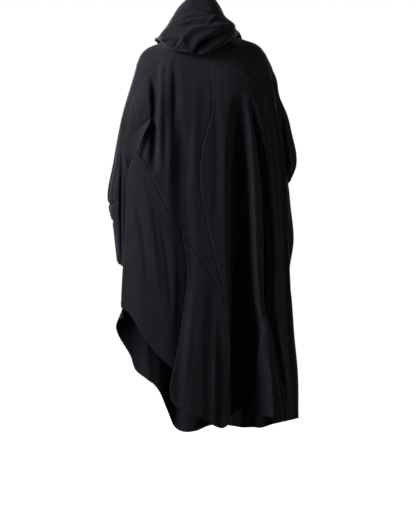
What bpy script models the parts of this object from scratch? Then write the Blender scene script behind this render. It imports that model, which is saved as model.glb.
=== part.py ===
# A worn hooded poncho of thick felted wool: hollow, open at neck, cuffs and hem.
# Metres, +Z up. The origin is between the shoulders, where the garment is held up.
# The back faces -Y. The wearer's right is +X.
import math

import bpy
import numpy as np
from mathutils import Vector
from mathutils.geometry import delaunay_2d_cdt

CLOTH = 0.003           # thickness of the felted wool
SEAM_GAP = 0.0003       # space left between two pieces where they are sewn
GIRTH_STEP = 0.030      # width of the lattice on the body panels
HEIGHT_STEP = 0.075     # height of the lattice on the body panels
EDGE_STEP = 0.040       # length of a panel's edge between two points
EDGE_CLEARANCE = 0.45   # share of a column that the lattice keeps off a panel's edge
NECK_STEP = 0.0165      # length of the neckline between two points, where the hood joins it
EDGE_ORDER = np.array([0.37, 0.21, 1.0])    # both sides of a seam split their edges alike
ALONG_SLEEVE = 9
ALONG_HOOD = 13

# Body sections
# Each row is one level of the body: how far its back and front reach, and where its two fold
# edges, its side walls and its front corners lie. flange is 1 where an edge is a sharp fold.
RING_COLUMNS = ("z", "back", "front", "edge_l", "edge_y_l", "side_l", "corner_l", "flange_l",
                "edge_r", "edge_y_r", "side_r", "corner_r", "flange_r")
RING_ROWS = (
    (0.045, -0.040, 0.040, 0.070, 0.000, 0.068, 0.045, 0.0, 0.075, 0.000, 0.073, 0.048, 0.0),
    (0.030, -0.052, 0.052, 0.098, 0.000, 0.095, 0.060, 0.0, 0.110, 0.000, 0.106, 0.065, 0.0),
    (0.017, -0.062, 0.062, 0.122, 0.000, 0.118, 0.074, 0.0, 0.145, 0.000, 0.140, 0.080, 0.0),
    (0.003, -0.076, 0.073, 0.152, -0.002, 0.148, 0.090, 0.0, 0.184, -0.004, 0.178, 0.098, 0.0),
    (-0.011, -0.088, 0.083, 0.186, -0.004, 0.180, 0.108, 0.0, 0.202, -0.008, 0.196, 0.112, 0.0),
    (-0.030, -0.101, 0.095, 0.208, -0.008, 0.203, 0.130, 0.0, 0.214, -0.014, 0.210, 0.130, 0.0),
    (-0.060, -0.118, 0.111, 0.222, -0.020, 0.217, 0.152, 0.0, 0.223, -0.028, 0.220, 0.146, 0.1),
    (-0.120, -0.142, 0.132, 0.231, -0.050, 0.225, 0.176, 0.1, 0.236, -0.056, 0.230, 0.160, 0.5),
    (-0.200, -0.160, 0.148, 0.236, -0.085, 0.218, 0.190, 0.3, 0.251, -0.078, 0.240, 0.150, 0.9),
    (-0.300, -0.169, 0.156, 0.239, -0.110, 0.208, 0.196, 0.5, 0.267, -0.088, 0.250, 0.140, 1.0),
    (-0.400, -0.173, 0.160, 0.241, -0.124, 0.199, 0.198, 0.7, 0.278, -0.090, 0.268, 0.138, 1.0),
    (-0.470, -0.175, 0.163, 0.254, -0.126, 0.197, 0.200, 1.0, 0.285, -0.088, 0.291, 0.140, 1.0),
    (-0.570, -0.178, 0.168, 0.257, -0.126, 0.197, 0.204, 1.0, 0.291, -0.084, 0.304, 0.166, 1.0),
    (-0.680, -0.181, 0.175, 0.262, -0.125, 0.198, 0.210, 1.0, 0.297, -0.080, 0.315, 0.230, 1.0),
    (-0.800, -0.185, 0.186, 0.271, -0.122, 0.205, 0.222, 1.0, 0.303, -0.074, 0.303, 0.245, 1.0),
    (-0.900, -0.190, 0.196, 0.276, -0.116, 0.262, 0.262, 1.0, 0.308, -0.068, 0.312, 0.258, 1.0),
    (-1.010, -0.196, 0.206, 0.277, -0.106, 0.290, 0.305, 0.8, 0.315, -0.060, 0.320, 0.266, 1.0),
    (-1.160, -0.203, 0.220, 0.270, -0.100, 0.284, 0.290, 0.6, 0.326, -0.048, 0.334, 0.278, 1.0),
    (-1.310, -0.209, 0.232, 0.262, -0.095, 0.275, 0.265, 0.5, 0.329, -0.034, 0.337, 0.288, 0.9),
    (-1.450, -0.214, 0.242, 0.255, -0.092, 0.270, 0.255, 0.5, 0.331, -0.024, 0.338, 0.294, 0.8),
)
SOFT_EDGE = (0.004, 0.022)      # inset and half-thickness of a round side
SHARP_EDGE = (0.014, 0.012)     # inset and half-thickness of a sharp fold edge
REFERENCE_Z = -0.680            # the section whose girth measures the way around

# Neckline heights
NECK_BACK_Z = 0.000
NECK_SIDE_Z = 0.032
NECK_FRONT_Z = -0.040

# Folds of the back: height, centre across, depth inward, width to the left and right, flat share
BACK_FOLDS = {
    "shoulder_trough": (
        (-0.060, -0.150, 0.000, 0.030, 0.022, 0.0),
        (-0.140, -0.155, 0.016, 0.036, 0.026, 0.0),
        (-0.260, -0.157, 0.026, 0.040, 0.027, 0.0),
        (-0.370, -0.160, 0.016, 0.040, 0.026, 0.0),
        (-0.460, -0.164, 0.000, 0.036, 0.026, 0.0),
    ),
    "blade_ridge": (
        (-0.060, -0.130, 0.000, 0.020, 0.030, 0.0),
        (-0.180, -0.132, -0.010, 0.022, 0.034, 0.0),
        (-0.320, -0.136, -0.008, 0.024, 0.036, 0.0),
        (-0.460, -0.140, 0.000, 0.024, 0.036, 0.0),
    ),
    "blade_trough": (
        (-0.060, -0.096, 0.000, 0.030, 0.034, 0.0),
        (-0.200, -0.098, 0.011, 0.034, 0.040, 0.0),
        (-0.360, -0.100, 0.000, 0.034, 0.044, 0.0),
    ),
    "middle_trough": (
        (-0.260, -0.066, 0.000, 0.050, 0.050, 0.0),
        (-0.420, -0.064, 0.010, 0.056, 0.050, 0.0),
        (-0.600, -0.058, 0.011, 0.056, 0.044, 0.0),
        (-0.760, -0.046, 0.010, 0.050, 0.040, 0.0),
        (-0.980, -0.066, 0.012, 0.040, 0.050, 0.0),
        (-1.130, -0.084, 0.000, 0.040, 0.050, 0.0),
    ),
    "middle_ridge": (
        (-0.760, -0.004, 0.000, 0.050, 0.050, 0.2),
        (-0.980, -0.016, -0.014, 0.060, 0.054, 0.2),
        (-1.320, -0.020, -0.020, 0.064, 0.056, 0.2),
    ),
    "deep_trough": (
        (-0.170, 0.132, 0.000, 0.050, 0.036, 0.0),
        (-0.290, 0.139, 0.028, 0.070, 0.034, 0.1),
        (-0.420, 0.145, 0.056, 0.076, 0.034, 0.2),
        (-0.560, 0.149, 0.080, 0.076, 0.034, 0.3),
        (-0.740, 0.153, 0.110, 0.074, 0.034, 0.4),
        (-0.880, 0.156, 0.135, 0.068, 0.038, 0.6),
        (-0.960, 0.158, 0.145, 0.064, 0.046, 0.8),
        (-1.310, 0.162, 0.150, 0.069, 0.060, 0.8),
    ),
    "side_trough": (
        (-0.200, 0.165, 0.000, 0.022, 0.024, 0.0),
        (-0.290, 0.186, 0.022, 0.026, 0.026, 0.0),
        (-0.377, 0.204, 0.034, 0.028, 0.027, 0.0),
        (-0.546, 0.225, 0.038, 0.030, 0.026, 0.0),
        (-0.750, 0.231, 0.036, 0.030, 0.026, 0.0),
        (-0.919, 0.231, 0.030, 0.028, 0.026, 0.0),
        (-1.021, 0.248, 0.020, 0.026, 0.024, 0.0),
        (-1.157, 0.269, 0.020, 0.028, 0.024, 0.0),
        (-1.296, 0.284, 0.022, 0.030, 0.024, 0.0),
    ),
    "gore_ridge": (
        (-0.900, 0.221, 0.000, 0.016, 0.020, 0.0),
        (-1.060, 0.224, -0.016, 0.024, 0.030, 0.2),
        (-1.310, 0.240, -0.030, 0.034, 0.040, 0.3),
    ),
}
FRONT_FOLDS = {
    "front_left_trough": (
        (-0.220, -0.120, 0.000, 0.040, 0.040, 0.0),
        (-0.460, -0.128, 0.022, 0.046, 0.044, 0.1),
        (-0.900, -0.150, 0.040, 0.050, 0.050, 0.1),
        (-1.350, -0.165, 0.050, 0.055, 0.055, 0.1),
    ),
    "front_middle_trough": (
        (-0.300, -0.020, 0.000, 0.050, 0.050, 0.0),
        (-0.620, -0.026, 0.018, 0.056, 0.050, 0.1),
        (-1.040, -0.032, 0.036, 0.056, 0.052, 0.1),
        (-1.390, -0.036, 0.044, 0.056, 0.056, 0.1),
    ),
    "front_right_trough": (
        (-0.260, 0.090, 0.000, 0.040, 0.040, 0.0),
        (-0.620, 0.104, 0.030, 0.048, 0.044, 0.1),
        (-1.000, 0.118, 0.052, 0.056, 0.050, 0.2),
        (-1.350, 0.126, 0.070, 0.060, 0.056, 0.2),
    ),
    "front_side_trough": (
        (-0.620, 0.196, 0.000, 0.030, 0.026, 0.0),
        (-0.900, 0.204, 0.022, 0.034, 0.030, 0.0),
        (-1.340, 0.222, 0.036, 0.036, 0.034, 0.1),
    ),
}

# Seams of the back, as x and z on the surface, from the top down
LEFT_RAGLAN = ((-0.108, -0.038), (-0.128, -0.115), (-0.142, -0.149), (-0.155, -0.187),
               (-0.166, -0.227), (-0.173, -0.263))
LOW_RAGLAN = ((-0.173, -0.263), (-0.189, -0.305), (-0.219, -0.372))
SHOULDER_SEAM = ((-0.205, -0.115), (-0.192, -0.163), (-0.178, -0.211), (-0.173, -0.263))
LONG_DIAGONAL = ((-0.219, -0.372), (-0.169, -0.468), (-0.111, -0.584), (-0.071, -0.645))
LOW_DIAGONAL = ((-0.071, -0.645), (0.011, -0.767), (0.097, -0.913))
CENTRE_SEAM = ((0.035, -0.173), (0.028, -0.271), (0.018, -0.305), (0.003, -0.355),
               (-0.005, -0.430), (-0.003, -0.519), (0.013, -0.604), (0.043, -0.740),
               (0.078, -0.860), (0.097, -0.913))
MIDDLE_SEAM = ((-0.071, -0.645), (-0.057, -0.726), (-0.050, -0.790), (-0.059, -0.889),
               (-0.074, -0.994), (-0.096, -1.116))
CREASE = ((0.097, -0.913), (0.099, -1.021), (0.097, -1.157), (0.096, -1.292))
RIGHT_RAGLAN = ((0.123, -0.058), (0.153, -0.112), (0.160, -0.140), (0.158, -0.183),
                (0.180, -0.261), (0.204, -0.377), (0.225, -0.546), (0.231, -0.750),
                (0.231, -0.919), (0.248, -1.021), (0.269, -1.157), (0.284, -1.296))
RAGLAN_NECK_X_L = -0.086
RAGLAN_NECK_X_R = 0.078
CENTRE_NECK_X = 0.012

# Hems, as x and z on the surface
HEM_BACK_LEFT = ((-0.254, -0.925), (-0.196, -1.009), (-0.154, -1.064), (-0.096, -1.116))
HEM_MIDDLE_EDGE = ((-0.096, -1.116), (-0.107, -1.190), (-0.100, -1.226), (-0.085, -1.244))
HEM_BACK_MIDDLE = ((-0.085, -1.244), (-0.060, -1.256), (0.003, -1.283), (0.078, -1.312),
                   (0.096, -1.292))
HEM_BACK_RIGHT = ((0.096, -1.292), (0.130, -1.281), (0.177, -1.274), (0.284, -1.296))
HEM_FRONT = ((-0.262, -1.098), (-0.240, -1.159), (-0.180, -1.206), (-0.130, -1.295),
             (-0.083, -1.379), (-0.026, -1.377), (0.023, -1.362), (0.097, -1.354),
             (0.218, -1.364), (0.262, -1.352))
HEM_SIDE_LEFT_Z = -0.900
HEM_CORNER_LEFT_Z = -1.015
HEM_SIDE_RIGHT_Z = -1.318
HEM_EDGE_RIGHT_Z = -1.300

# Sleeve sections, nine numbers each: the centre, the half-axis that starts at the top of the
# armhole, and the half-axis that starts at its back
LEFT_SLEEVE = (
    (-0.2475, 0.004, -0.362, -0.0285, 0.0, 0.116, -0.006, -0.098, -0.004),
    (-0.2595, 0.008, -0.475, -0.0465, 0.0, 0.050, 0.002, -0.084, 0.008),
    (-0.2690, 0.016, -0.545, -0.0560, 0.0, 0.020, 0.000, -0.084, 0.000),
    (-0.2620, 0.020, -0.650, -0.0480, 0.0, 0.008, 0.000, -0.086, -0.014),
    (-0.2565, 0.022, -0.748, -0.0425, 0.0, 0.010, 0.000, -0.088, -0.034),
)
RIGHT_SLEEVE = (
    (0.2820, 0.0300, -0.330, -0.0210, -0.020, 0.124, 0.0320, -0.0700, 0.008),
    (0.2830, 0.1140, -0.406, -0.0060, 0.040, 0.076, 0.0380, -0.0220, -0.004),
    (0.2600, 0.1920, -0.448, -0.0060, 0.034, 0.066, 0.0420, 0.0100, -0.002),
    (0.2255, 0.2850, -0.494, -0.0120, 0.026, 0.062, 0.0410, 0.0205, 0.000),
)
SLEEVE_ROUNDNESS = 2.3

# Hood sections: the turned-over rim, the bulge, the belly and the lower edge, by turn in degrees
# from the back towards the wearer's right
HOOD_ROWS = (
    (0, (-0.005, -0.088, 0.178), (-0.005, -0.128, 0.100), (-0.006, -0.158, 0.010),
     (-0.006, -0.136, -0.046)),
    (33, (0.036, -0.080, 0.158), (0.063, -0.112, 0.090), (0.085, -0.136, 0.020),
     (0.073, -0.120, -0.014)),
    (55, (0.066, -0.045, 0.118), (0.086, -0.070, 0.078), (0.120, -0.086, 0.040),
     (0.110, -0.080, 0.018)),
    (74, (0.078, 0.000, 0.075), (0.103, -0.005, 0.058), (0.134, -0.010, 0.037),
     (0.128, -0.010, 0.033)),
    (134, (0.070, 0.065, 0.030), (0.092, 0.085, 0.012), (0.106, 0.106, -0.012),
     (0.100, 0.114, -0.036)),
    (196, (0.000, 0.100, -0.015), (0.000, 0.120, -0.028), (0.000, 0.142, -0.055),
     (0.000, 0.142, -0.085)),
    (235, (-0.070, 0.065, 0.026), (-0.094, 0.086, 0.006), (-0.110, 0.108, -0.018),
     (-0.102, 0.116, -0.042)),
    (299, (-0.084, 0.000, 0.075), (-0.116, -0.010, 0.054), (-0.154, -0.020, 0.020),
     (-0.147, -0.020, 0.014)),
    (314, (-0.084, -0.045, 0.115), (-0.116, -0.076, 0.062), (-0.138, -0.102, 0.010),
     (-0.112, -0.100, -0.026)),
    (332, (-0.044, -0.080, 0.155), (-0.075, -0.114, 0.088), (-0.084, -0.146, 0.008),
     (-0.065, -0.130, -0.036)),
)
HOOD_GROOVE = ((-0.036, -0.024), (-0.004, -0.002), (0.030, 0.018), (0.065, 0.042), (0.098, 0.068))
GROOVE_DEPTH = 0.020
GROOVE_HALF_WIDTH = 0.024
LIP_HEIGHT = 0.007
LIP_OFFSET = 0.028

# Colours
WOOL = (0.0122, 0.0116, 0.0152, 1.0)


# Smooth interpolation
def tangents(knots, values, period=None):
    """Slopes at the knots, from the neighbours on both sides."""
    if period is None:
        slopes = np.gradient(values, knots, axis=0)
        return slopes
    before = np.roll(values, 1, axis=0)
    after = np.roll(values, -1, axis=0)
    gap_before = (knots - np.roll(knots, 1)) % period
    gap_after = (np.roll(knots, -1) - knots) % period
    shape = (-1,) + (1,) * (values.ndim - 1)
    gap_before = gap_before.reshape(shape)
    gap_after = gap_after.reshape(shape)
    rise_before = (values - before) / gap_before
    rise_after = (after - values) / gap_after
    return (rise_before * gap_after + rise_after * gap_before) / (gap_before + gap_after)


def hermite(first, second, slope_first, slope_second, span, share):
    """A cubic between two values with the given slopes."""
    square = share * share
    cube = square * share
    return ((2 * cube - 3 * square + 1) * first + (cube - 2 * square + share) * span * slope_first
            + (3 * square - 2 * cube) * second + (cube - square) * span * slope_second)


def track(knots, values, places, period=None):
    """Values read at places along a smooth track through the knots."""
    knots = np.asarray(knots, dtype=float)
    values = np.asarray(values, dtype=float)
    places = np.asarray(places, dtype=float)
    slopes = tangents(knots, values, period)
    if period is None:
        places = np.clip(places, knots[0], knots[-1])
        index = np.clip(np.searchsorted(knots, places, side="right") - 1, 0, len(knots) - 2)
        after = index + 1
        span = knots[after] - knots[index]
        share = (places - knots[index]) / span
    else:
        places = (places - knots[0]) % period + knots[0]
        index = np.searchsorted(knots, places, side="right") - 1
        after = (index + 1) % len(knots)
        span = (knots[after] - knots[index]) % period
        share = (places - knots[index]) / span
    shape = share.shape + (1,) * (values.ndim - 1)
    share = share.reshape(shape)
    span = span.reshape(shape)
    return hermite(values[index], values[after], slopes[index], slopes[after], span, share)


def unit(vectors):
    return vectors / np.maximum(np.linalg.norm(vectors, axis=-1, keepdims=True), 1e-12)


# Body surface
def section_points(row):
    """The control points of one level, from the middle of the back by the right side round."""
    value = dict(zip(RING_COLUMNS, row))
    back = value["back"]
    front = value["front"]

    def half(sign, side):
        edge = value["edge_" + side]
        edge_y = value["edge_y_" + side]
        wall = value["side_" + side]
        corner = value["corner_" + side]
        flange = value["flange_" + side]
        inset = SOFT_EDGE[0] + (SHARP_EDGE[0] - SOFT_EDGE[0]) * flange
        thick = SOFT_EDGE[1] + (SHARP_EDGE[1] - SOFT_EDGE[1]) * flange
        depth = front - edge_y
        thick = min(thick, 0.15 * depth)
        shoulder = min(0.055, 0.30 * edge)
        points = (
            (0.50 * edge, back * 0.985),
            (edge - shoulder, back + 0.35 * (edge_y - back)),
            (edge - inset, edge_y - thick),
            (edge, edge_y),
            (edge - inset, edge_y + thick),
            (wall, edge_y + 0.22 * depth),
            (wall, edge_y + 0.50 * depth),
            (corner, edge_y + 0.86 * depth),
            (0.45 * corner, front),
        )
        return [(sign * x, y) for x, y in points]

    right = half(1.0, "r")
    left = half(-1.0, "l")
    return [(0.0, back)] + right + [(0.0, front)] + left[::-1]


SECTION_Z = np.array([row[0] for row in RING_ROWS])[::-1]
SECTIONS = np.array([section_points(row) for row in RING_ROWS])[::-1]
REFERENCE = track(SECTION_Z, SECTIONS, np.array([REFERENCE_Z]))[0]
STEPS = np.linalg.norm(np.roll(REFERENCE, -1, axis=0) - REFERENCE, axis=1)
GIRTH = float(STEPS.sum())
KNOTS = np.concatenate(([0.0], np.cumsum(STEPS)[:-1]))
PLACES = ("back", "back_inner", "back_outer", "edge_behind", "edge", "edge_front", "recess",
          "side", "corner", "front_inner")
RIGHT = {name: float(KNOTS[index]) for index, name in enumerate(PLACES)}
LEFT = {name: float(KNOTS[-index] - GIRTH) for index, name in enumerate(PLACES) if index}


def base_point(around, z):
    """The unfolded body surface at a place around and a height."""
    sections = track(SECTION_Z, SECTIONS, z)
    slopes_before = np.roll(sections, 1, axis=1)
    slopes_after = np.roll(sections, -1, axis=1)
    gap_before = ((KNOTS - np.roll(KNOTS, 1)) % GIRTH)[None, :, None]
    gap_after = ((np.roll(KNOTS, -1) - KNOTS) % GIRTH)[None, :, None]
    rise_before = (sections - slopes_before) / gap_before
    rise_after = (slopes_after - sections) / gap_after
    slopes = (rise_before * gap_after + rise_after * gap_before) / (gap_before + gap_after)
    places = around % GIRTH
    index = np.clip(np.searchsorted(KNOTS, places, side="right") - 1, 0, len(KNOTS) - 1)
    after = (index + 1) % len(KNOTS)
    span = (KNOTS[after] - KNOTS[index]) % GIRTH
    share = (places - KNOTS[index]) / span
    rows = np.arange(len(places))
    flat = hermite(sections[rows, index], sections[rows, after], slopes[rows, index],
                   slopes[rows, after], span[:, None], share[:, None])
    return np.column_stack((flat, z))


def find_around(x, z, low, high):
    """The place around where the unfolded surface has this x, between two places."""
    x = np.asarray(x, dtype=float)
    z = np.asarray(z, dtype=float)
    start = np.full(x.shape, low)
    end = np.full(x.shape, high)
    rising = base_point(end, z)[:, 0] > base_point(start, z)[:, 0]
    for _ in range(40):
        middle = (start + end) / 2
        over = (base_point(middle, z)[:, 0] > x) == rising
        end = np.where(over, middle, end)
        start = np.where(over, start, middle)
    return (start + end) / 2


def on_back(x, z):
    return find_around(x, z, LEFT["edge"], RIGHT["edge"])


def on_front(x, z):
    return find_around(x, z, RIGHT["corner"], LEFT["corner"] + GIRTH)


def fold_tracks(folds, place):
    tracks = []
    for rows in folds.values():
        table = np.array(rows)[::-1]
        centre = place(table[:, 1], table[:, 0])
        tracks.append((table[:, 0], np.column_stack((centre, table[:, 2:]))))
    return tracks


FOLDS = fold_tracks(BACK_FOLDS, on_back) + fold_tracks(FRONT_FOLDS, on_front)


def fold_depth(around, z):
    """How far the folds carry the cloth inward at each place."""
    depth = np.zeros(len(z))
    for heights, values in FOLDS:
        centre, deep, left, right, flat = track(heights, values, z).T
        fade = np.clip((heights[-1] + 0.03 - z) / 0.03, 0.0, 1.0)
        offset = (around - centre + GIRTH / 2) % GIRTH - GIRTH / 2
        reach = np.abs(offset) / np.where(offset < 0, left, right)
        slope = np.clip((reach - flat) / (1 - flat), 0.0, 1.0)
        depth += fade * deep * 0.5 * (1 + np.cos(math.pi * slope))
    return depth


def body_point(around, z):
    """The folded body surface."""
    around = np.asarray(around, dtype=float)
    z = np.asarray(z, dtype=float)
    step = 0.002
    ahead = base_point(around + step, z)
    behind = base_point(around - step, z)
    along = unit((ahead - behind)[:, :2])
    outward = np.column_stack((along[:, 1], -along[:, 0], np.zeros(len(z))))
    return base_point(around, z) - outward * fold_depth(around, z)[:, None]


def body_normal(around, z):
    step = 0.0015
    across = body_point(around + step, z) - body_point(around - step, z)
    upward = body_point(around, z + step) - body_point(around, z - step)
    return unit(np.cross(across, upward))


# Flattened body: columns that follow the folds, spaced by their longest cloth length
WAY_STEPS = 500
FLAT_LEVELS = (-0.10, -0.30, -0.50, -0.70, -0.90, -1.10, -1.30)


def guide_tracks():
    """Places around that every column keeps clear of or follows, from the left side round."""
    names = list(BACK_FOLDS) + list(FRONT_FOLDS)
    tracks = dict(zip(names, FOLDS))

    def centre(name, turn=0.0):
        heights, values = tracks[name]
        return heights, values[:, 0] + turn

    heights, values = tracks["deep_trough"]
    return [
        (None, LEFT["edge"]),
        centre("shoulder_trough"),
        (heights, values[:, 0] - values[:, 2]),
        centre("deep_trough"),
        centre("side_trough"),
        (None, RIGHT["edge"]),
        (None, RIGHT["side"]),
        centre("front_side_trough"),
        centre("front_right_trough"),
        centre("front_middle_trough"),
        centre("front_left_trough"),
        (None, LEFT["side"] + GIRTH),
        (None, LEFT["edge"] + GIRTH),
    ]


GUIDES = guide_tracks()


def guides_at(z):
    """The place of each guide at each height, a row for each height."""
    columns = []
    for heights, places in GUIDES:
        if heights is None:
            columns.append(np.full(len(z), places))
        else:
            columns.append(track(heights, places, z))
    return np.column_stack(columns)


GUIDE_HOME = guides_at(np.array([REFERENCE_Z]))[0]


def between(values, rows_from, rows_to):
    """Each value carried from its place between the first rows to the same share of the second."""
    turns = np.floor((values - rows_from[:, 0]) / GIRTH)
    inner = values - turns * GIRTH
    result = np.zeros(len(values))
    for index in range(rows_from.shape[1] - 1):
        low = rows_from[:, index]
        high = rows_from[:, index + 1]
        here = (inner >= low) & (inner <= high)
        share = (inner - low) / (high - low)
        value = rows_to[:, index] + share * (rows_to[:, index + 1] - rows_to[:, index])
        result = np.where(here, value, result)
    return result + turns * GIRTH


def to_home(around, z):
    return between(around, guides_at(z), np.tile(GUIDE_HOME, (len(z), 1)))


def from_home(home, z):
    return between(home, np.tile(GUIDE_HOME, (len(z), 1)), guides_at(z))


def column_lengths():
    """The flat place of each home place, with a whole number of columns between guides."""
    homes = []
    flats = []
    flat = 0.0
    for low, high in zip(GUIDE_HOME[:-1], GUIDE_HOME[1:]):
        home = np.linspace(low + 1e-9, high - 1e-9, 60)
        longest = np.zeros(len(home) - 1)
        for level in FLAT_LEVELS:
            z = np.full(len(home), level)
            line = body_point(from_home(home, z), z)
            longest = np.maximum(longest, np.linalg.norm(np.diff(line, axis=0), axis=1))
        lengths = np.concatenate(([0.0], np.cumsum(longest)))
        steps = max(1, round(lengths[-1] / GIRTH_STEP))
        homes.append(home)
        flats.append(flat + lengths / lengths[-1] * steps * GIRTH_STEP)
        flat += steps * GIRTH_STEP
    return np.concatenate(homes), np.concatenate(flats), flat


HOME_PLACES, FLAT_PLACES, FLAT_GIRTH = column_lengths()


def height_lengths():
    """Cloth length from the bottom up to each level, along the right shoulder and side."""
    levels = np.linspace(SECTION_Z[0], SECTION_Z[-1], 600)
    line = body_point(np.full(len(levels), RIGHT["edge"]), levels)
    steps = np.linalg.norm(np.diff(line, axis=0), axis=1)
    return levels, np.concatenate(([0.0], np.cumsum(steps)))


HEIGHT_LEVELS, HEIGHT_LENGTHS = height_lengths()


def flatten(places):
    home = to_home(places[:, 0], places[:, 1])
    turns = np.floor((home - GUIDE_HOME[0]) / GIRTH)
    flat = np.interp(home - turns * GIRTH, HOME_PLACES, FLAT_PLACES) + turns * FLAT_GIRTH
    return np.column_stack((flat, np.interp(places[:, 1], HEIGHT_LEVELS, HEIGHT_LENGTHS)))


def unflatten(points):
    z = np.interp(points[:, 1], HEIGHT_LENGTHS, HEIGHT_LEVELS)
    turns = np.floor(points[:, 0] / FLAT_GIRTH)
    home = np.interp(points[:, 0] - turns * FLAT_GIRTH, FLAT_PLACES, HOME_PLACES) + turns * GIRTH
    return np.column_stack((from_home(home, z), z))


# Seam curves in the flattened body
def smooth_line(points, step=EDGE_STEP):
    """A smooth curve through places around and heights, sampled evenly."""
    points = np.asarray(points, dtype=float)
    chords = np.linalg.norm(np.diff(points, axis=0), axis=1)
    knots = np.concatenate(([0.0], np.cumsum(chords)))
    fine = track(knots, points, np.linspace(0, knots[-1], 400))
    steps = np.linalg.norm(np.diff(body_point(fine[:, 0], fine[:, 1]), axis=0), axis=1)
    lengths = np.concatenate(([0.0], np.cumsum(steps)))
    even = np.linspace(0, lengths[-1], max(1, round(lengths[-1] / step)) + 1)
    return np.column_stack([np.interp(even, lengths, fine[:, axis]) for axis in (0, 1)])


def back_line(points):
    points = np.asarray(points, dtype=float)
    return np.column_stack((on_back(points[:, 0], points[:, 1]), points[:, 1]))


def neck_z(around):
    """Height of the neckline at a place around."""
    turn = 2 * math.pi * np.asarray(around) / GIRTH
    once = (NECK_BACK_Z - NECK_FRONT_Z) / 2
    middle = (NECK_BACK_Z + NECK_FRONT_Z) / 2
    mean = (middle + NECK_SIDE_Z) / 2
    twice = middle - mean
    return mean + once * np.cos(turn) + twice * np.cos(2 * turn)


def neck_place(x):
    """The place around where the neckline has this x on the back."""
    around = np.zeros(1)
    for _ in range(6):
        around = on_back(np.array([x]), neck_z(around))
    return float(around[0])


def neck_line(start, end):
    around = np.linspace(start, end, 100)
    return smooth_line(np.column_stack((around, neck_z(around))), NECK_STEP)


def join(*lines):
    """One closed outline from lines that meet end to end."""
    points = []
    for line in lines:
        for point in line:
            if not points or np.abs(np.asarray(point) - points[-1]).max() > 1e-9:
                points.append(np.asarray(point, dtype=float))
    if np.abs(points[0] - points[-1]).max() < 1e-9:
        points.pop()
    return np.array(points)


def shifted(line, turns):
    return line + np.array([turns * GIRTH, 0.0])


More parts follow.
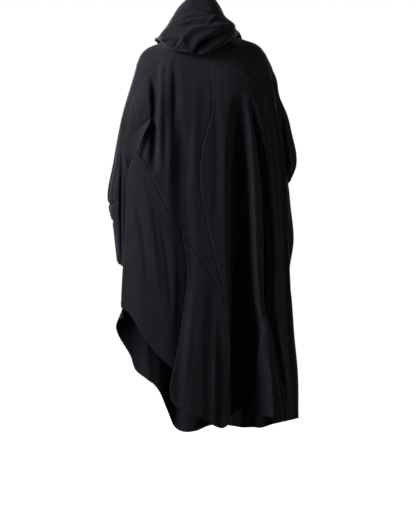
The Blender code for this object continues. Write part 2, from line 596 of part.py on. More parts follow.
def build_seams():
    """All seam, armhole and hem lines, by name."""
    line = {}
    neck_l = neck_place(RAGLAN_NECK_X_L)
    neck_c = neck_place(CENTRE_NECK_X)
    neck_r = neck_place(RAGLAN_NECK_X_R)
    neck_fl = -0.36 * GIRTH
    neck_fr = 0.35 * GIRTH

    def start(around):
        return np.array([[around, float(neck_z(around))]])

    raglan_l = back_line(LEFT_RAGLAN)
    low_raglan = back_line(LOW_RAGLAN)
    shoulder = back_line(SHOULDER_SEAM)
    line["left_raglan"] = smooth_line(np.vstack((start(neck_l), raglan_l)))
    line["low_raglan"] = smooth_line(low_raglan)
    line["centre"] = smooth_line(np.vstack((start(neck_c), back_line(CENTRE_SEAM))))
    line["right_raglan"] = smooth_line(np.vstack((start(neck_r), back_line(RIGHT_RAGLAN))))
    line["long_diagonal"] = smooth_line(back_line(LONG_DIAGONAL))
    line["low_diagonal"] = smooth_line(back_line(LOW_DIAGONAL))
    line["middle"] = smooth_line(back_line(MIDDLE_SEAM))
    line["crease"] = smooth_line(back_line(CREASE))

    # Left armhole
    top_l = (LEFT["edge"], -0.078)
    underarm_l = (LEFT["recess"], -0.450)
    front_l = 0.5 * (LEFT["side"] + LEFT["corner"])
    front_top_l = (front_l, -0.190)
    line["armhole_l_shoulder"] = smooth_line(np.vstack(([top_l], shoulder)))
    line["armhole_l_back"] = smooth_line(np.vstack((low_raglan[-1:], back_line(((-0.236, -0.408),)),
                                                    [underarm_l])))
    line["armhole_l_front"] = smooth_line((underarm_l, (front_l - 0.004, -0.390),
                                           (front_l - 0.010, -0.290), front_top_l))
    line["armhole_l_top"] = smooth_line((front_top_l, (0.5 * (front_l + LEFT["edge"]), -0.112), top_l))

    # Right armhole
    top_r = (RIGHT["edge_front"], -0.058)
    underarm_r = (RIGHT["side"] - 0.016, -0.474)
    front_r = 0.5 * (RIGHT["side"] + RIGHT["corner"])
    front_top_r = (front_r, -0.150)
    behind_r = RIGHT["edge_front"] + 0.006
    line["armhole_r_back"] = smooth_line((top_r, (behind_r, -0.150), (behind_r, -0.300),
                                          (behind_r + 0.010, -0.410), underarm_r))
    line["armhole_r_front"] = smooth_line((underarm_r, (front_r - 0.006, -0.440),
                                           (front_r + 0.010, -0.300), front_top_r))
    line["armhole_r_top"] = smooth_line((front_top_r, (0.5 * (front_r + RIGHT["edge"]), -0.088),
                                         top_r))

    # Front raglans and side seams
    line["front_raglan_l"] = smooth_line(np.vstack((
        start(neck_fl), [(0.5 * (neck_fl + front_l), -0.120)], [front_top_l])))
    line["front_raglan_r"] = smooth_line(np.vstack((
        start(neck_fr), [(0.5 * (neck_fr + front_r), -0.125)], [front_top_r])))
    side_end_l = (LEFT["recess"], HEM_SIDE_LEFT_Z)
    side_end_r = (RIGHT["side"], HEM_SIDE_RIGHT_Z)
    line["side_l"] = smooth_line((underarm_l, side_end_l))
    line["side_r"] = smooth_line((underarm_r, (RIGHT["side"], -0.620), side_end_r))

    # Hems
    line["hem_back_left"] = smooth_line(np.vstack(([side_end_l], back_line(HEM_BACK_LEFT))))
    line["hem_middle_edge"] = smooth_line(back_line(HEM_MIDDLE_EDGE))
    line["hem_back_middle"] = smooth_line(back_line(HEM_BACK_MIDDLE))
    line["hem_back_right"] = smooth_line(back_line(HEM_BACK_RIGHT))
    edge_r = (RIGHT["edge"], HEM_EDGE_RIGHT_Z)
    line["hem_side_right"] = smooth_line(np.vstack((back_line(HEM_BACK_RIGHT)[-1:], [edge_r],
                                                    [side_end_r])))
    hem_front = np.asarray(HEM_FRONT)
    hem_front = np.column_stack((on_front(hem_front[:, 0], hem_front[:, 1]), hem_front[:, 1]))
    corner_l = (LEFT["corner"] + GIRTH, HEM_CORNER_LEFT_Z)
    line["hem_front"] = smooth_line(np.vstack((
        [(side_end_l[0] + GIRTH, side_end_l[1])], [corner_l], hem_front, [side_end_r])))

    # Neckline
    line["neck_yoke"] = neck_line(neck_fl, neck_l)
    line["neck_centre"] = neck_line(neck_l, neck_c)
    line["neck_right"] = neck_line(neck_c, neck_r)
    line["neck_side"] = neck_line(neck_r, neck_fr)
    line["neck_front"] = neck_line(neck_fr, neck_fl + GIRTH)
    return line


def panel_outlines(line):
    """The closed outline of each body piece, anticlockwise as the cloth is seen from outside."""
    rev = {name: points[::-1] for name, points in line.items()}
    return {
        "yoke_left": join(rev["neck_yoke"], line["front_raglan_l"], line["armhole_l_top"],
                          line["armhole_l_shoulder"], rev["left_raglan"]),
        "back_centre": join(rev["neck_centre"], line["left_raglan"], line["low_raglan"],
                            line["long_diagonal"], line["low_diagonal"], rev["centre"]),
        "back_left": join(line["armhole_l_back"], line["side_l"], line["hem_back_left"],
                          rev["middle"], rev["long_diagonal"]),
        "back_middle": join(line["middle"], line["hem_middle_edge"], line["hem_back_middle"],
                            rev["crease"], rev["low_diagonal"]),
        "back_right": join(rev["neck_right"], line["centre"], line["crease"],
                           line["hem_back_right"], rev["right_raglan"]),
        "side_right": join(rev["neck_side"], line["right_raglan"], line["hem_side_right"],
                           rev["side_r"], rev["armhole_r_back"], rev["armhole_r_top"],
                           rev["front_raglan_r"]),
        "front": join(rev["neck_front"], line["front_raglan_r"], rev["armhole_r_front"],
                      line["side_r"], rev["hem_front"], shifted(rev["side_l"], 1),
                      shifted(line["armhole_l_front"], 1), shifted(rev["front_raglan_l"], 1)),
    }


# Panels
def inside(points, outline):
    """Which points lie inside a closed outline."""
    x, y = points[:, 0], points[:, 1]
    result = np.zeros(len(points), dtype=bool)
    for first, second in zip(outline, np.roll(outline, -1, axis=0)):
        crosses = (first[1] > y) != (second[1] > y)
        if crosses.any():
            rise = second[1] - first[1]
            rise = rise if abs(rise) > 1e-12 else 1e-12
            at = first[0] + (y - first[1]) * (second[0] - first[0]) / rise
            result ^= crosses & (x < at)
    return result


def distance_to(points, outline):
    nearest = np.full(len(points), np.inf)
    for first, second in zip(outline, np.roll(outline, -1, axis=0)):
        way = second - first
        share = np.clip(((points - first) @ way) / max(way @ way, 1e-12), 0, 1)
        nearest = np.minimum(nearest, np.linalg.norm(points - first - share[:, None] * way, axis=1))
    return nearest


def panel_mesh(outline):
    """Points around and up, and triangles, of one flat panel; the outline's points come first."""
    flat = flatten(outline)
    low = flat.min(axis=0)
    high = flat.max(axis=0)
    columns = np.arange(math.ceil(low[0] / GIRTH_STEP), high[0] / GIRTH_STEP) * GIRTH_STEP
    rows = np.arange(math.ceil(low[1] / HEIGHT_STEP), high[1] / HEIGHT_STEP) * HEIGHT_STEP
    grid = np.array([(column, row) for row in rows for column in columns])
    grid = grid[inside(grid, flat)]
    grid = grid[distance_to(grid, flat) > EDGE_CLEARANCE * GIRTH_STEP]
    points = np.vstack((flat, grid))
    count = len(flat)
    edges = [(index, (index + 1) % count) for index in range(count)]
    found = delaunay_2d_cdt([Vector(point) for point in points], edges, [], 0, 1e-7)
    made = np.array([tuple(point) for point in found[0]])
    order = np.array([sources[0] for sources in found[3]])
    triangles = []
    for face in found[2]:
        centre = made[list(face)].mean(axis=0)
        if inside(centre[None, :], flat)[0]:
            triangles.append([int(order[corner]) for corner in face])
    places = unflatten(points)
    places[:count] = outline
    return places, triangles, count


def pull_in(points, normals, ring):
    """Points of a closed ring moved into the cloth by half the seam gap."""
    own = points[ring]
    ahead = np.roll(own, -1, axis=0) - own
    behind = own - np.roll(own, 1, axis=0)
    along = unit(unit(ahead) + unit(behind))
    inward = unit(np.cross(normals[ring], along))
    half_turn = np.clip(np.sum(along * unit(ahead), axis=1), 0.45, 1.0)
    moved = points.copy()
    moved[ring] = own + inward * (SEAM_GAP / 2 / half_turn)[:, None]
    return moved


def add_wall(name, points, normals, triangles, rings, material):
    """One cloth piece: the sheet given its thickness, closed along its free edges."""
    count = len(points)
    outer = points + normals * (CLOTH / 2)
    inner = points - normals * (CLOTH / 2)
    order = points @ EDGE_ORDER
    faces = [tuple(face) for face in triangles]
    faces += [tuple(corner + count for corner in reversed(face)) for face in triangles]
    for ring in rings:
        for index, first in enumerate(ring):
            second = ring[(index + 1) % len(ring)]
            if order[first] < order[second]:
                faces.append((first, first + count, second + count))
                faces.append((first, second + count, second))
            else:
                faces.append((first, first + count, second))
                faces.append((second, first + count, second + count))
    mesh = bpy.data.meshes.new(name)
    mesh.from_pydata(np.vstack((outer, inner)).tolist(), [], faces)
    mesh.validate()
    mesh.update()
    mesh.shade_smooth()
    mesh.set_sharp_from_angle(angle=math.radians(50))
    mesh.materials.append(material)
    piece = bpy.data.objects.new(name, mesh)
    bpy.context.scene.collection.objects.link(piece)
    return piece


def key(around, z):
    return (round(around % GIRTH, 6), round(z, 6))


def facet_normals(points, triangles):
    """Normals of the points, from the triangles around each."""
    corners = np.array(triangles)
    sides = points[corners]
    facing = np.cross(sides[:, 1] - sides[:, 0], sides[:, 2] - sides[:, 0])
    normals = np.zeros_like(points)
    for corner in range(3):
        np.add.at(normals, corners[:, corner], facing)
    return unit(normals)


def add_panel(name, outline, shared, material):
    """A body piece; shared holds the normals where a sleeve or the hood meets it."""
    flat, triangles, count = panel_mesh(outline)
    points = body_point(flat[:, 0], flat[:, 1])
    normals = facet_normals(points, triangles)
    ring = list(range(count))
    normals[ring] = body_normal(flat[ring, 0], flat[ring, 1])
    points = pull_in(points, normals, ring)
    for index in ring:
        place = key(*flat[index])
        if place in shared:
            normals[index] = unit(normals[index] + shared[place])
    return add_wall(name, points, normals, triangles, [ring], material)


# Tubes: sleeves and hood
def grid_triangles(around, along):
    triangles = []
    for row in range(along - 1):
        for column in range(around):
            first = row * around + column
            second = row * around + (column + 1) % around
            third = second + around
            fourth = first + around
            triangles.append((first, fourth, second))
            triangles.append((second, fourth, third))
    return triangles


def grid_normals(grid):
    """Normals of a tube's grid, rows along and columns around."""
    along = np.gradient(grid, axis=0)
    across = np.roll(grid, -1, axis=1) - np.roll(grid, 1, axis=1)
    return unit(np.cross(along, across))


def add_tube(name, grid, edge_places, shared, material):
    """A sleeve or the hood, whose first row meets the body along edge_places."""
    along, around, _ = grid.shape
    normals = grid_normals(grid)
    for column, place in enumerate(edge_places):
        shared[key(*place)] = normals[0, column].copy()
    body = body_normal(edge_places[:, 0], edge_places[:, 1])
    normals[0] = unit(normals[0] + body)
    away = unit(grid[1] - grid[0])
    grid = grid.copy()
    grid[0] += away * SEAM_GAP / 2
    first = list(range(around))[::-1]
    last = [(along - 1) * around + column for column in range(around)]
    return add_wall(name, grid.reshape(-1, 3), normals.reshape(-1, 3),
                    grid_triangles(around, along), [first, last], material)


def rounded(turn, roundness):
    """Cosine and sine of a turn, squared off a little."""
    power = 2.0 / roundness
    cosine = np.sign(np.cos(turn)) * np.abs(np.cos(turn)) ** power
    sine = np.sign(np.sin(turn)) * np.abs(np.sin(turn)) ** power
    return cosine, sine


def add_sleeve(name, armhole, sections, mirrored, shared, material):
    """A sleeve from its armhole through its sections to the open cuff."""
    start = body_point(armhole[:, 0], armhole[:, 1])
    table = np.array(sections)
    lengths = np.linalg.norm(np.roll(start, -1, axis=0) - start, axis=1)
    turn = 2 * math.pi * np.concatenate(([0.0], np.cumsum(lengths)[:-1])) / lengths.sum()
    cosine, sine = rounded(turn, SLEEVE_ROUNDNESS)
    rings = [start]
    for row in table:
        rings.append(row[:3] + cosine[:, None] * row[3:6] + sine[:, None] * row[6:9])
    rings = np.array(rings)
    middles = rings.mean(axis=1)
    knots = np.concatenate(([0.0], np.cumsum(np.linalg.norm(np.diff(middles, axis=0), axis=1))))
    grid = track(knots, rings, np.linspace(0, knots[-1], ALONG_SLEEVE))
    if mirrored:
        grid = grid[:, ::-1]
        armhole = armhole[::-1]
    return add_tube(name, grid, armhole, shared, material)


def groove_offset(points):
    """How far the hood's deep slanting groove and its lip move points of the outer layer."""
    groove = np.asarray(HOOD_GROOVE)
    spot = points[:, [0, 2]]
    nearest = np.full(len(points), np.inf)
    side = np.zeros(len(points))
    for first, second in zip(groove[:-1], groove[1:]):
        way = second - first
        share = np.clip(((spot - first) @ way) / (way @ way), 0, 1)
        gap = spot - first - share[:, None] * way
        length = np.linalg.norm(gap, axis=1)
        below = (way[0] * gap[:, 1] - way[1] * gap[:, 0]) < 0
        closer = length < nearest
        nearest = np.where(closer, length, nearest)
        side = np.where(closer, below, side)
    deep = np.clip(nearest / GROOVE_HALF_WIDTH, 0, 1)
    lip = np.clip(np.abs(nearest - LIP_OFFSET) / GROOVE_HALF_WIDTH, 0, 1)
    rise = np.where(side > 0, LIP_HEIGHT * 0.5 * (1 + np.cos(math.pi * lip)), 0.0)
    back = np.clip(-points[:, 1] / 0.05, 0, 1)
    return back * (rise - GROOVE_DEPTH * 0.5 * (1 + np.cos(math.pi * deep)))


def hood_grid(places, along):
    """The hood's sheet: up from the neckline, over the rim and down outside."""
    table = np.array([[row[1], row[2], row[3], row[4]] for row in HOOD_ROWS])
    turns = np.array([row[0] for row in HOOD_ROWS], dtype=float)
    turn = places[:, 0] / GIRTH * 360.0
    profile = track(turns, table, turn, period=360.0)
    base = body_point(places[:, 0], places[:, 1])
    rings = np.concatenate((base[None], profile.transpose(1, 0, 2)))
    steps = np.linalg.norm(np.diff(rings, axis=0), axis=2).mean(axis=1)
    knots = np.concatenate(([0.0], np.cumsum(steps)))
    way = np.linspace(0, knots[-1], along)
    grid = track(knots, rings, way)
    normals = grid_normals(grid)
    outer = np.clip((way - knots[1]) / (knots[2] - knots[1]), 0, 1)
    for row in range(along):
        move = groove_offset(grid[row]) * outer[row]
        grid[row] += normals[row] * move[:, None]
    return grid[:, ::-1]


def make_material(name, color, roughness):
    material = bpy.data.materials.new(name)
    material.use_nodes = True
    shader = material.node_tree.nodes["Principled BSDF"]
    shader.inputs["Base Color"].default_value = color
    shader.inputs["Roughness"].default_value = roughness
    shader.inputs["Metallic"].default_value = 0.0
    return material


def clear_scene():
    for item in list(bpy.data.objects):
        bpy.data.objects.remove(item, do_unlink=True)


def main():
    clear_scene()
    wool = {}
    line = build_seams()
    outlines = panel_outlines(line)
    names = list(outlines) + ["sleeve_left", "sleeve_right", "hood"]
    for name in names:
        wool[name] = make_material("wool_" + name, WOOL, 0.95)
    shared = {}

    armhole_l = join(line["armhole_l_shoulder"], line["low_raglan"], line["armhole_l_back"],
                     line["armhole_l_front"], line["armhole_l_top"])
    armhole_r = join(line["armhole_r_back"], line["armhole_r_front"], line["armhole_r_top"])
    add_sleeve("sleeve_left", armhole_l, LEFT_SLEEVE, False, shared, wool["sleeve_left"])
    add_sleeve("sleeve_right", armhole_r, RIGHT_SLEEVE, True, shared, wool["sleeve_right"])
    neckline = join(line["neck_yoke"], line["neck_centre"], line["neck_right"], line["neck_side"],
                    line["neck_front"][:-1])
    grid = hood_grid(neckline, ALONG_HOOD)
    add_tube("hood", grid, neckline[::-1], shared, wool["hood"])
    for name, outline in outlines.items():
        add_panel(name, outline, shared, wool[name])


main()
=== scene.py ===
# The looks of a worn hooded poncho of near-black felted wool.
# Metres, +Z up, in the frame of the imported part. The back faces -Y and the wearer's right is +X.
import math

import bpy
import numpy as np
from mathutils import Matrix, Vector
from mathutils.bvhtree import BVHTree
from mathutils.geometry import delaunay_2d_cdt


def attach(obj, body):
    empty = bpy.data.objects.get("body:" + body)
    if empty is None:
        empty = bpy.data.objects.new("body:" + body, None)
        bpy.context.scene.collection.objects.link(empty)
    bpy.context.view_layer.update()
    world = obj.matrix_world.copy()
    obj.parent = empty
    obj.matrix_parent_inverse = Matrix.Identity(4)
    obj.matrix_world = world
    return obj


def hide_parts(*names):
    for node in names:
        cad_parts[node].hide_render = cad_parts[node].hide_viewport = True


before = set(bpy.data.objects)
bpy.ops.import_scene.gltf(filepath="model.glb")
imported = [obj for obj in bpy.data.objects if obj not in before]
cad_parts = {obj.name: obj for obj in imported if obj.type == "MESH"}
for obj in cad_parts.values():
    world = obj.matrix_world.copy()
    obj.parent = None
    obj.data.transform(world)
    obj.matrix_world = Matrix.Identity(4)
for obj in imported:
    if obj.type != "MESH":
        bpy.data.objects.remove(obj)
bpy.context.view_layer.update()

CLOTH = 0.003           # thickness of the felted wool
SEAM_GAP = 0.0003       # space left between two pieces where they are sewn
GIRTH_STEP = 0.0062     # width of the lattice on the body panels
HEIGHT_STEP = 0.012     # height of the lattice on the body panels
EDGE_STEP = 0.009       # length of a panel's edge between two points
EDGE_CLEARANCE = 0.50   # share of a column that the lattice keeps off a panel's edge
NECK_STEP = 0.0075      # length of the neckline between two points, where the hood joins it
ALONG_SLEEVE = 90       # rows of points along a sleeve
ALONG_HOOD = 150        # rows of points along the hood

# Fineness of the working lines, which shapes nothing by itself
CURVE_POINTS = 400      # places that a seam's curve is worked out at before it is spaced evenly
NECK_POINTS = 100       # the same for the neckline
GUIDE_POINTS = 60       # places that the cloth is measured at between two guides
LEVELS = 600            # levels that the cloth's height is measured at
HALVINGS = 40           # rounds in which a place around is closed in on
NECK_ROUNDS = 6         # rounds that find where the neckline has an x
SAME = 1e-9             # places closer than this are the same
WELD = 1e-7             # points of a panel closer than this are the same
LEAST = 1e-12           # a divisor is kept at least this large

# The camera, which also ties places in the photograph to places in the frame
EYE = (0.021, -5.5, -0.648)
FOCAL = 1571            # focal length in dots of the photograph
PICTURE_HEIGHT = 520    # dots
EYE_DOT = (208, 230)    # column and row of the dot straight in front of the camera


# Body sections
# Each row is one level of the body: how far its back and front reach, and where its two fold
# edges, its side walls and its front corners lie. flange is 1 where an edge is a sharp fold.
RING_COLUMNS = ("z", "back", "front", "edge_l", "edge_y_l", "side_l", "corner_l", "flange_l",
                "edge_r", "edge_y_r", "side_r", "corner_r", "flange_r")
RING_ROWS = (
    (0.045, -0.040, 0.040, 0.070, 0.000, 0.068, 0.045, 0.0, 0.075, 0.000, 0.073, 0.048, 0.0),
    (0.030, -0.052, 0.052, 0.098, 0.000, 0.095, 0.060, 0.0, 0.110, 0.000, 0.106, 0.065, 0.0),
    (0.017, -0.062, 0.062, 0.122, 0.000, 0.118, 0.074, 0.0, 0.145, 0.000, 0.140, 0.080, 0.0),
    (0.003, -0.076, 0.073, 0.152, -0.002, 0.148, 0.090, 0.0, 0.184, -0.004, 0.178, 0.098, 0.0),
    (-0.011, -0.088, 0.083, 0.186, -0.004, 0.180, 0.108, 0.0, 0.202, -0.008, 0.196, 0.112, 0.0),
    (-0.030, -0.101, 0.095, 0.208, -0.008, 0.203, 0.130, 0.0, 0.214, -0.014, 0.210, 0.130, 0.0),
    (-0.060, -0.118, 0.111, 0.222, -0.020, 0.217, 0.152, 0.0, 0.223, -0.028, 0.220, 0.146, 0.1),
    (-0.120, -0.142, 0.132, 0.231, -0.050, 0.225, 0.176, 0.1, 0.236, -0.056, 0.230, 0.160, 0.5),
    (-0.200, -0.160, 0.148, 0.236, -0.085, 0.218, 0.190, 0.3, 0.251, -0.078, 0.240, 0.150, 0.9),
    (-0.300, -0.169, 0.156, 0.239, -0.110, 0.208, 0.196, 0.5, 0.267, -0.088, 0.250, 0.140, 1.0),
    (-0.400, -0.173, 0.160, 0.241, -0.124, 0.199, 0.198, 0.7, 0.278, -0.090, 0.268, 0.138, 1.0),
    (-0.470, -0.175, 0.163, 0.254, -0.126, 0.197, 0.200, 1.0, 0.285, -0.088, 0.291, 0.140, 1.0),
    (-0.570, -0.178, 0.168, 0.257, -0.126, 0.197, 0.204, 1.0, 0.291, -0.084, 0.304, 0.166, 1.0),
    (-0.680, -0.181, 0.175, 0.262, -0.125, 0.198, 0.210, 1.0, 0.297, -0.080, 0.315, 0.230, 1.0),
    (-0.800, -0.185, 0.186, 0.271, -0.122, 0.205, 0.222, 1.0, 0.303, -0.074, 0.303, 0.245, 1.0),
    (-0.900, -0.190, 0.196, 0.276, -0.116, 0.262, 0.262, 1.0, 0.308, -0.068, 0.312, 0.258, 1.0),
    (-1.010, -0.196, 0.206, 0.277, -0.106, 0.290, 0.305, 0.8, 0.315, -0.060, 0.320, 0.266, 1.0),
    (-1.160, -0.203, 0.220, 0.270, -0.100, 0.284, 0.290, 0.6, 0.326, -0.048, 0.334, 0.278, 1.0),
    (-1.310, -0.209, 0.232, 0.262, -0.095, 0.275, 0.265, 0.5, 0.329, -0.034, 0.337, 0.288, 0.9),
    (-1.450, -0.214, 0.242, 0.255, -0.092, 0.270, 0.255, 0.5, 0.331, -0.024, 0.338, 0.294, 0.8),
)
SOFT_EDGE = (0.004, 0.022)      # inset and half-thickness of a round side
SHARP_EDGE = (0.014, 0.012)     # inset and half-thickness of a sharp fold edge
REFERENCE_Z = -0.680            # the section whose girth measures the way around

# Neckline heights
NECK_BACK_Z = 0.000
NECK_SIDE_Z = 0.032
NECK_FRONT_Z = -0.040

# Large folds: height, centre across, depth inward, width to the left and right, flat share
BACK_FOLDS = {
    "shoulder_trough": (
        (-0.060, -0.150, 0.000, 0.030, 0.022, 0.0),
        (-0.140, -0.155, 0.016, 0.036, 0.026, 0.0),
        (-0.260, -0.157, 0.026, 0.040, 0.027, 0.0),
        (-0.370, -0.160, 0.016, 0.040, 0.026, 0.0),
        (-0.460, -0.164, 0.000, 0.036, 0.026, 0.0),
    ),
    "blade_ridge": (
        (-0.060, -0.130, 0.000, 0.020, 0.030, 0.0),
        (-0.180, -0.132, -0.010, 0.022, 0.034, 0.0),
        (-0.320, -0.136, -0.008, 0.024, 0.036, 0.0),
        (-0.460, -0.140, 0.000, 0.024, 0.036, 0.0),
    ),
    "blade_trough": (
        (-0.060, -0.096, 0.000, 0.030, 0.034, 0.0),
        (-0.200, -0.098, 0.011, 0.034, 0.040, 0.0),
        (-0.360, -0.100, 0.000, 0.034, 0.044, 0.0),
    ),
    "middle_trough": (
        (-0.260, -0.066, 0.000, 0.050, 0.050, 0.0),
        (-0.420, -0.064, 0.010, 0.056, 0.050, 0.0),
        (-0.600, -0.058, 0.011, 0.056, 0.044, 0.0),
        (-0.760, -0.046, 0.010, 0.050, 0.040, 0.0),
        (-0.980, -0.066, 0.012, 0.040, 0.050, 0.0),
        (-1.130, -0.084, 0.000, 0.040, 0.050, 0.0),
    ),
    "middle_ridge": (
        (-0.760, -0.004, 0.000, 0.050, 0.050, 0.2),
        (-0.980, -0.016, -0.014, 0.060, 0.054, 0.2),
        (-1.320, -0.020, -0.020, 0.064, 0.056, 0.2),
    ),
    "deep_trough": (
        (-0.170, 0.132, 0.000, 0.050, 0.036, 0.0),
        (-0.290, 0.139, 0.028, 0.070, 0.034, 0.1),
        (-0.420, 0.145, 0.056, 0.076, 0.034, 0.2),
        (-0.560, 0.149, 0.080, 0.076, 0.034, 0.3),
        (-0.740, 0.153, 0.110, 0.074, 0.034, 0.4),
        (-0.880, 0.156, 0.135, 0.068, 0.038, 0.6),
        (-0.960, 0.158, 0.145, 0.064, 0.046, 0.8),
        (-1.310, 0.162, 0.150, 0.069, 0.060, 0.8),
    ),
    "side_trough": (
        (-0.200, 0.165, 0.000, 0.022, 0.024, 0.0),
        (-0.290, 0.186, 0.022, 0.026, 0.026, 0.0),
        (-0.377, 0.204, 0.034, 0.028, 0.027, 0.0),
        (-0.546, 0.225, 0.038, 0.030, 0.026, 0.0),
        (-0.750, 0.231, 0.036, 0.030, 0.026, 0.0),
        (-0.919, 0.231, 0.030, 0.028, 0.026, 0.0),
        (-1.021, 0.248, 0.020, 0.026, 0.024, 0.0),
        (-1.157, 0.269, 0.020, 0.028, 0.024, 0.0),
        (-1.296, 0.284, 0.022, 0.030, 0.024, 0.0),
    ),
    "gore_ridge": (
        (-0.900, 0.221, 0.000, 0.016, 0.020, 0.0),
        (-1.060, 0.224, -0.016, 0.024, 0.030, 0.2),
        (-1.310, 0.240, -0.030, 0.034, 0.040, 0.3),
    ),
}
FRONT_FOLDS = {
    "front_left_trough": (
        (-0.220, -0.120, 0.000, 0.040, 0.040, 0.0),
        (-0.460, -0.128, 0.022, 0.046, 0.044, 0.1),
        (-0.900, -0.150, 0.040, 0.050, 0.050, 0.1),
        (-1.350, -0.165, 0.050, 0.055, 0.055, 0.1),
    ),
    "front_middle_trough": (
        (-0.300, -0.020, 0.000, 0.050, 0.050, 0.0),
        (-0.620, -0.026, 0.018, 0.056, 0.050, 0.1),
        (-1.040, -0.032, 0.036, 0.056, 0.052, 0.1),
        (-1.390, -0.036, 0.044, 0.056, 0.056, 0.1),
    ),
    "front_right_trough": (
        (-0.260, 0.090, 0.000, 0.040, 0.040, 0.0),
        (-0.620, 0.104, 0.030, 0.048, 0.044, 0.1),
        (-1.000, 0.118, 0.052, 0.056, 0.050, 0.2),
        (-1.350, 0.126, 0.070, 0.060, 0.056, 0.2),
    ),
    "front_side_trough": (
        (-0.620, 0.196, 0.000, 0.030, 0.026, 0.0),
        (-0.900, 0.204, 0.022, 0.034, 0.030, 0.0),
        (-1.340, 0.222, 0.036, 0.036, 0.034, 0.1),
    ),
}

# Seams of the back, as x and z on the surface, from the top down
LEFT_RAGLAN = ((-0.108, -0.038), (-0.128, -0.115), (-0.142, -0.149), (-0.155, -0.187),
               (-0.166, -0.227), (-0.173, -0.263))
SHOULDER_SEAM = ((-0.205, -0.115), (-0.192, -0.163), (-0.178, -0.211), (-0.173, -0.263))
CENTRE_SEAM = ((0.035, -0.173), (0.028, -0.271), (0.018, -0.305), (0.003, -0.355),
               (-0.005, -0.430), (-0.003, -0.519), (0.013, -0.604), (0.043, -0.740),
               (0.078, -0.860), (0.097, -0.913))
RIGHT_RAGLAN = ((0.123, -0.058), (0.153, -0.112), (0.160, -0.140), (0.158, -0.183),
                (0.180, -0.261), (0.204, -0.377), (0.225, -0.546), (0.231, -0.750),
                (0.231, -0.919), (0.248, -1.021), (0.269, -1.157), (0.284, -1.296))
# Lines that lie on the back from end to end
BACK_LINES = {
    "low_raglan": ((-0.173, -0.263), (-0.189, -0.305), (-0.219, -0.372)),
    "long_diagonal": ((-0.219, -0.372), (-0.169, -0.468), (-0.111, -0.584), (-0.071, -0.645)),
    "low_diagonal": ((-0.071, -0.645), (0.011, -0.767), (0.097, -0.913)),
    "middle": ((-0.071, -0.645), (-0.057, -0.726), (-0.050, -0.790), (-0.059, -0.889),
               (-0.074, -0.994), (-0.096, -1.116)),
    "crease": ((0.097, -0.913), (0.099, -1.021), (0.097, -1.157), (0.096, -1.292)),
    "hem_middle_edge": ((-0.096, -1.116), (-0.107, -1.190), (-0.100, -1.226), (-0.085, -1.244)),
    "hem_back_middle": ((-0.085, -1.244), (-0.060, -1.256), (0.003, -1.283), (0.078, -1.312),
                        (0.096, -1.292)),
    "hem_back_right": ((0.096, -1.292), (0.130, -1.281), (0.177, -1.274), (0.284, -1.296)),
}
RAGLAN_NECK_X_L = -0.086
RAGLAN_NECK_X_R = 0.078
CENTRE_NECK_X = 0.012

# Hems, as x and z on the surface
HEM_BACK_LEFT = ((-0.254, -0.925), (-0.196, -1.009), (-0.154, -1.064), (-0.096, -1.116))
HEM_FRONT = ((-0.262, -1.098), (-0.240, -1.159), (-0.180, -1.206), (-0.130, -1.295),
             (-0.083, -1.379), (-0.026, -1.377), (0.023, -1.362), (0.097, -1.354),
             (0.218, -1.364), (0.262, -1.352))
HEM_SIDE_LEFT_Z = -0.900
HEM_CORNER_LEFT_Z = -1.015
HEM_SIDE_RIGHT_Z = -1.318
HEM_EDGE_RIGHT_Z = -1.300

# Sleeve sections, nine numbers each: the centre, the half-axis that starts at the top of the
# armhole, and the half-axis that starts at its back
LEFT_SLEEVE = (
    (-0.2475, 0.004, -0.362, -0.0285, 0.0, 0.116, -0.006, -0.098, -0.004),
    (-0.2595, 0.008, -0.475, -0.0465, 0.0, 0.050, 0.002, -0.084, 0.008),
    (-0.2690, 0.016, -0.545, -0.0560, 0.0, 0.020, 0.000, -0.084, 0.000),
    (-0.2620, 0.020, -0.650, -0.0480, 0.0, 0.008, 0.000, -0.086, -0.014),
    (-0.2565, 0.022, -0.748, -0.0425, 0.0, 0.010, 0.000, -0.088, -0.034),
)
RIGHT_SLEEVE = (
    (0.2820, 0.0300, -0.330, -0.0210, -0.020, 0.124, 0.0320, -0.0700, 0.008),
    (0.2830, 0.1140, -0.406, -0.0060, 0.040, 0.076, 0.0380, -0.0220, -0.004),
    (0.2600, 0.1920, -0.448, -0.0060, 0.034, 0.066, 0.0420, 0.0100, -0.002),
    (0.2255, 0.2850, -0.494, -0.0120, 0.026, 0.062, 0.0410, 0.0205, 0.000),
)
SLEEVE_ROUNDNESS = 2.3

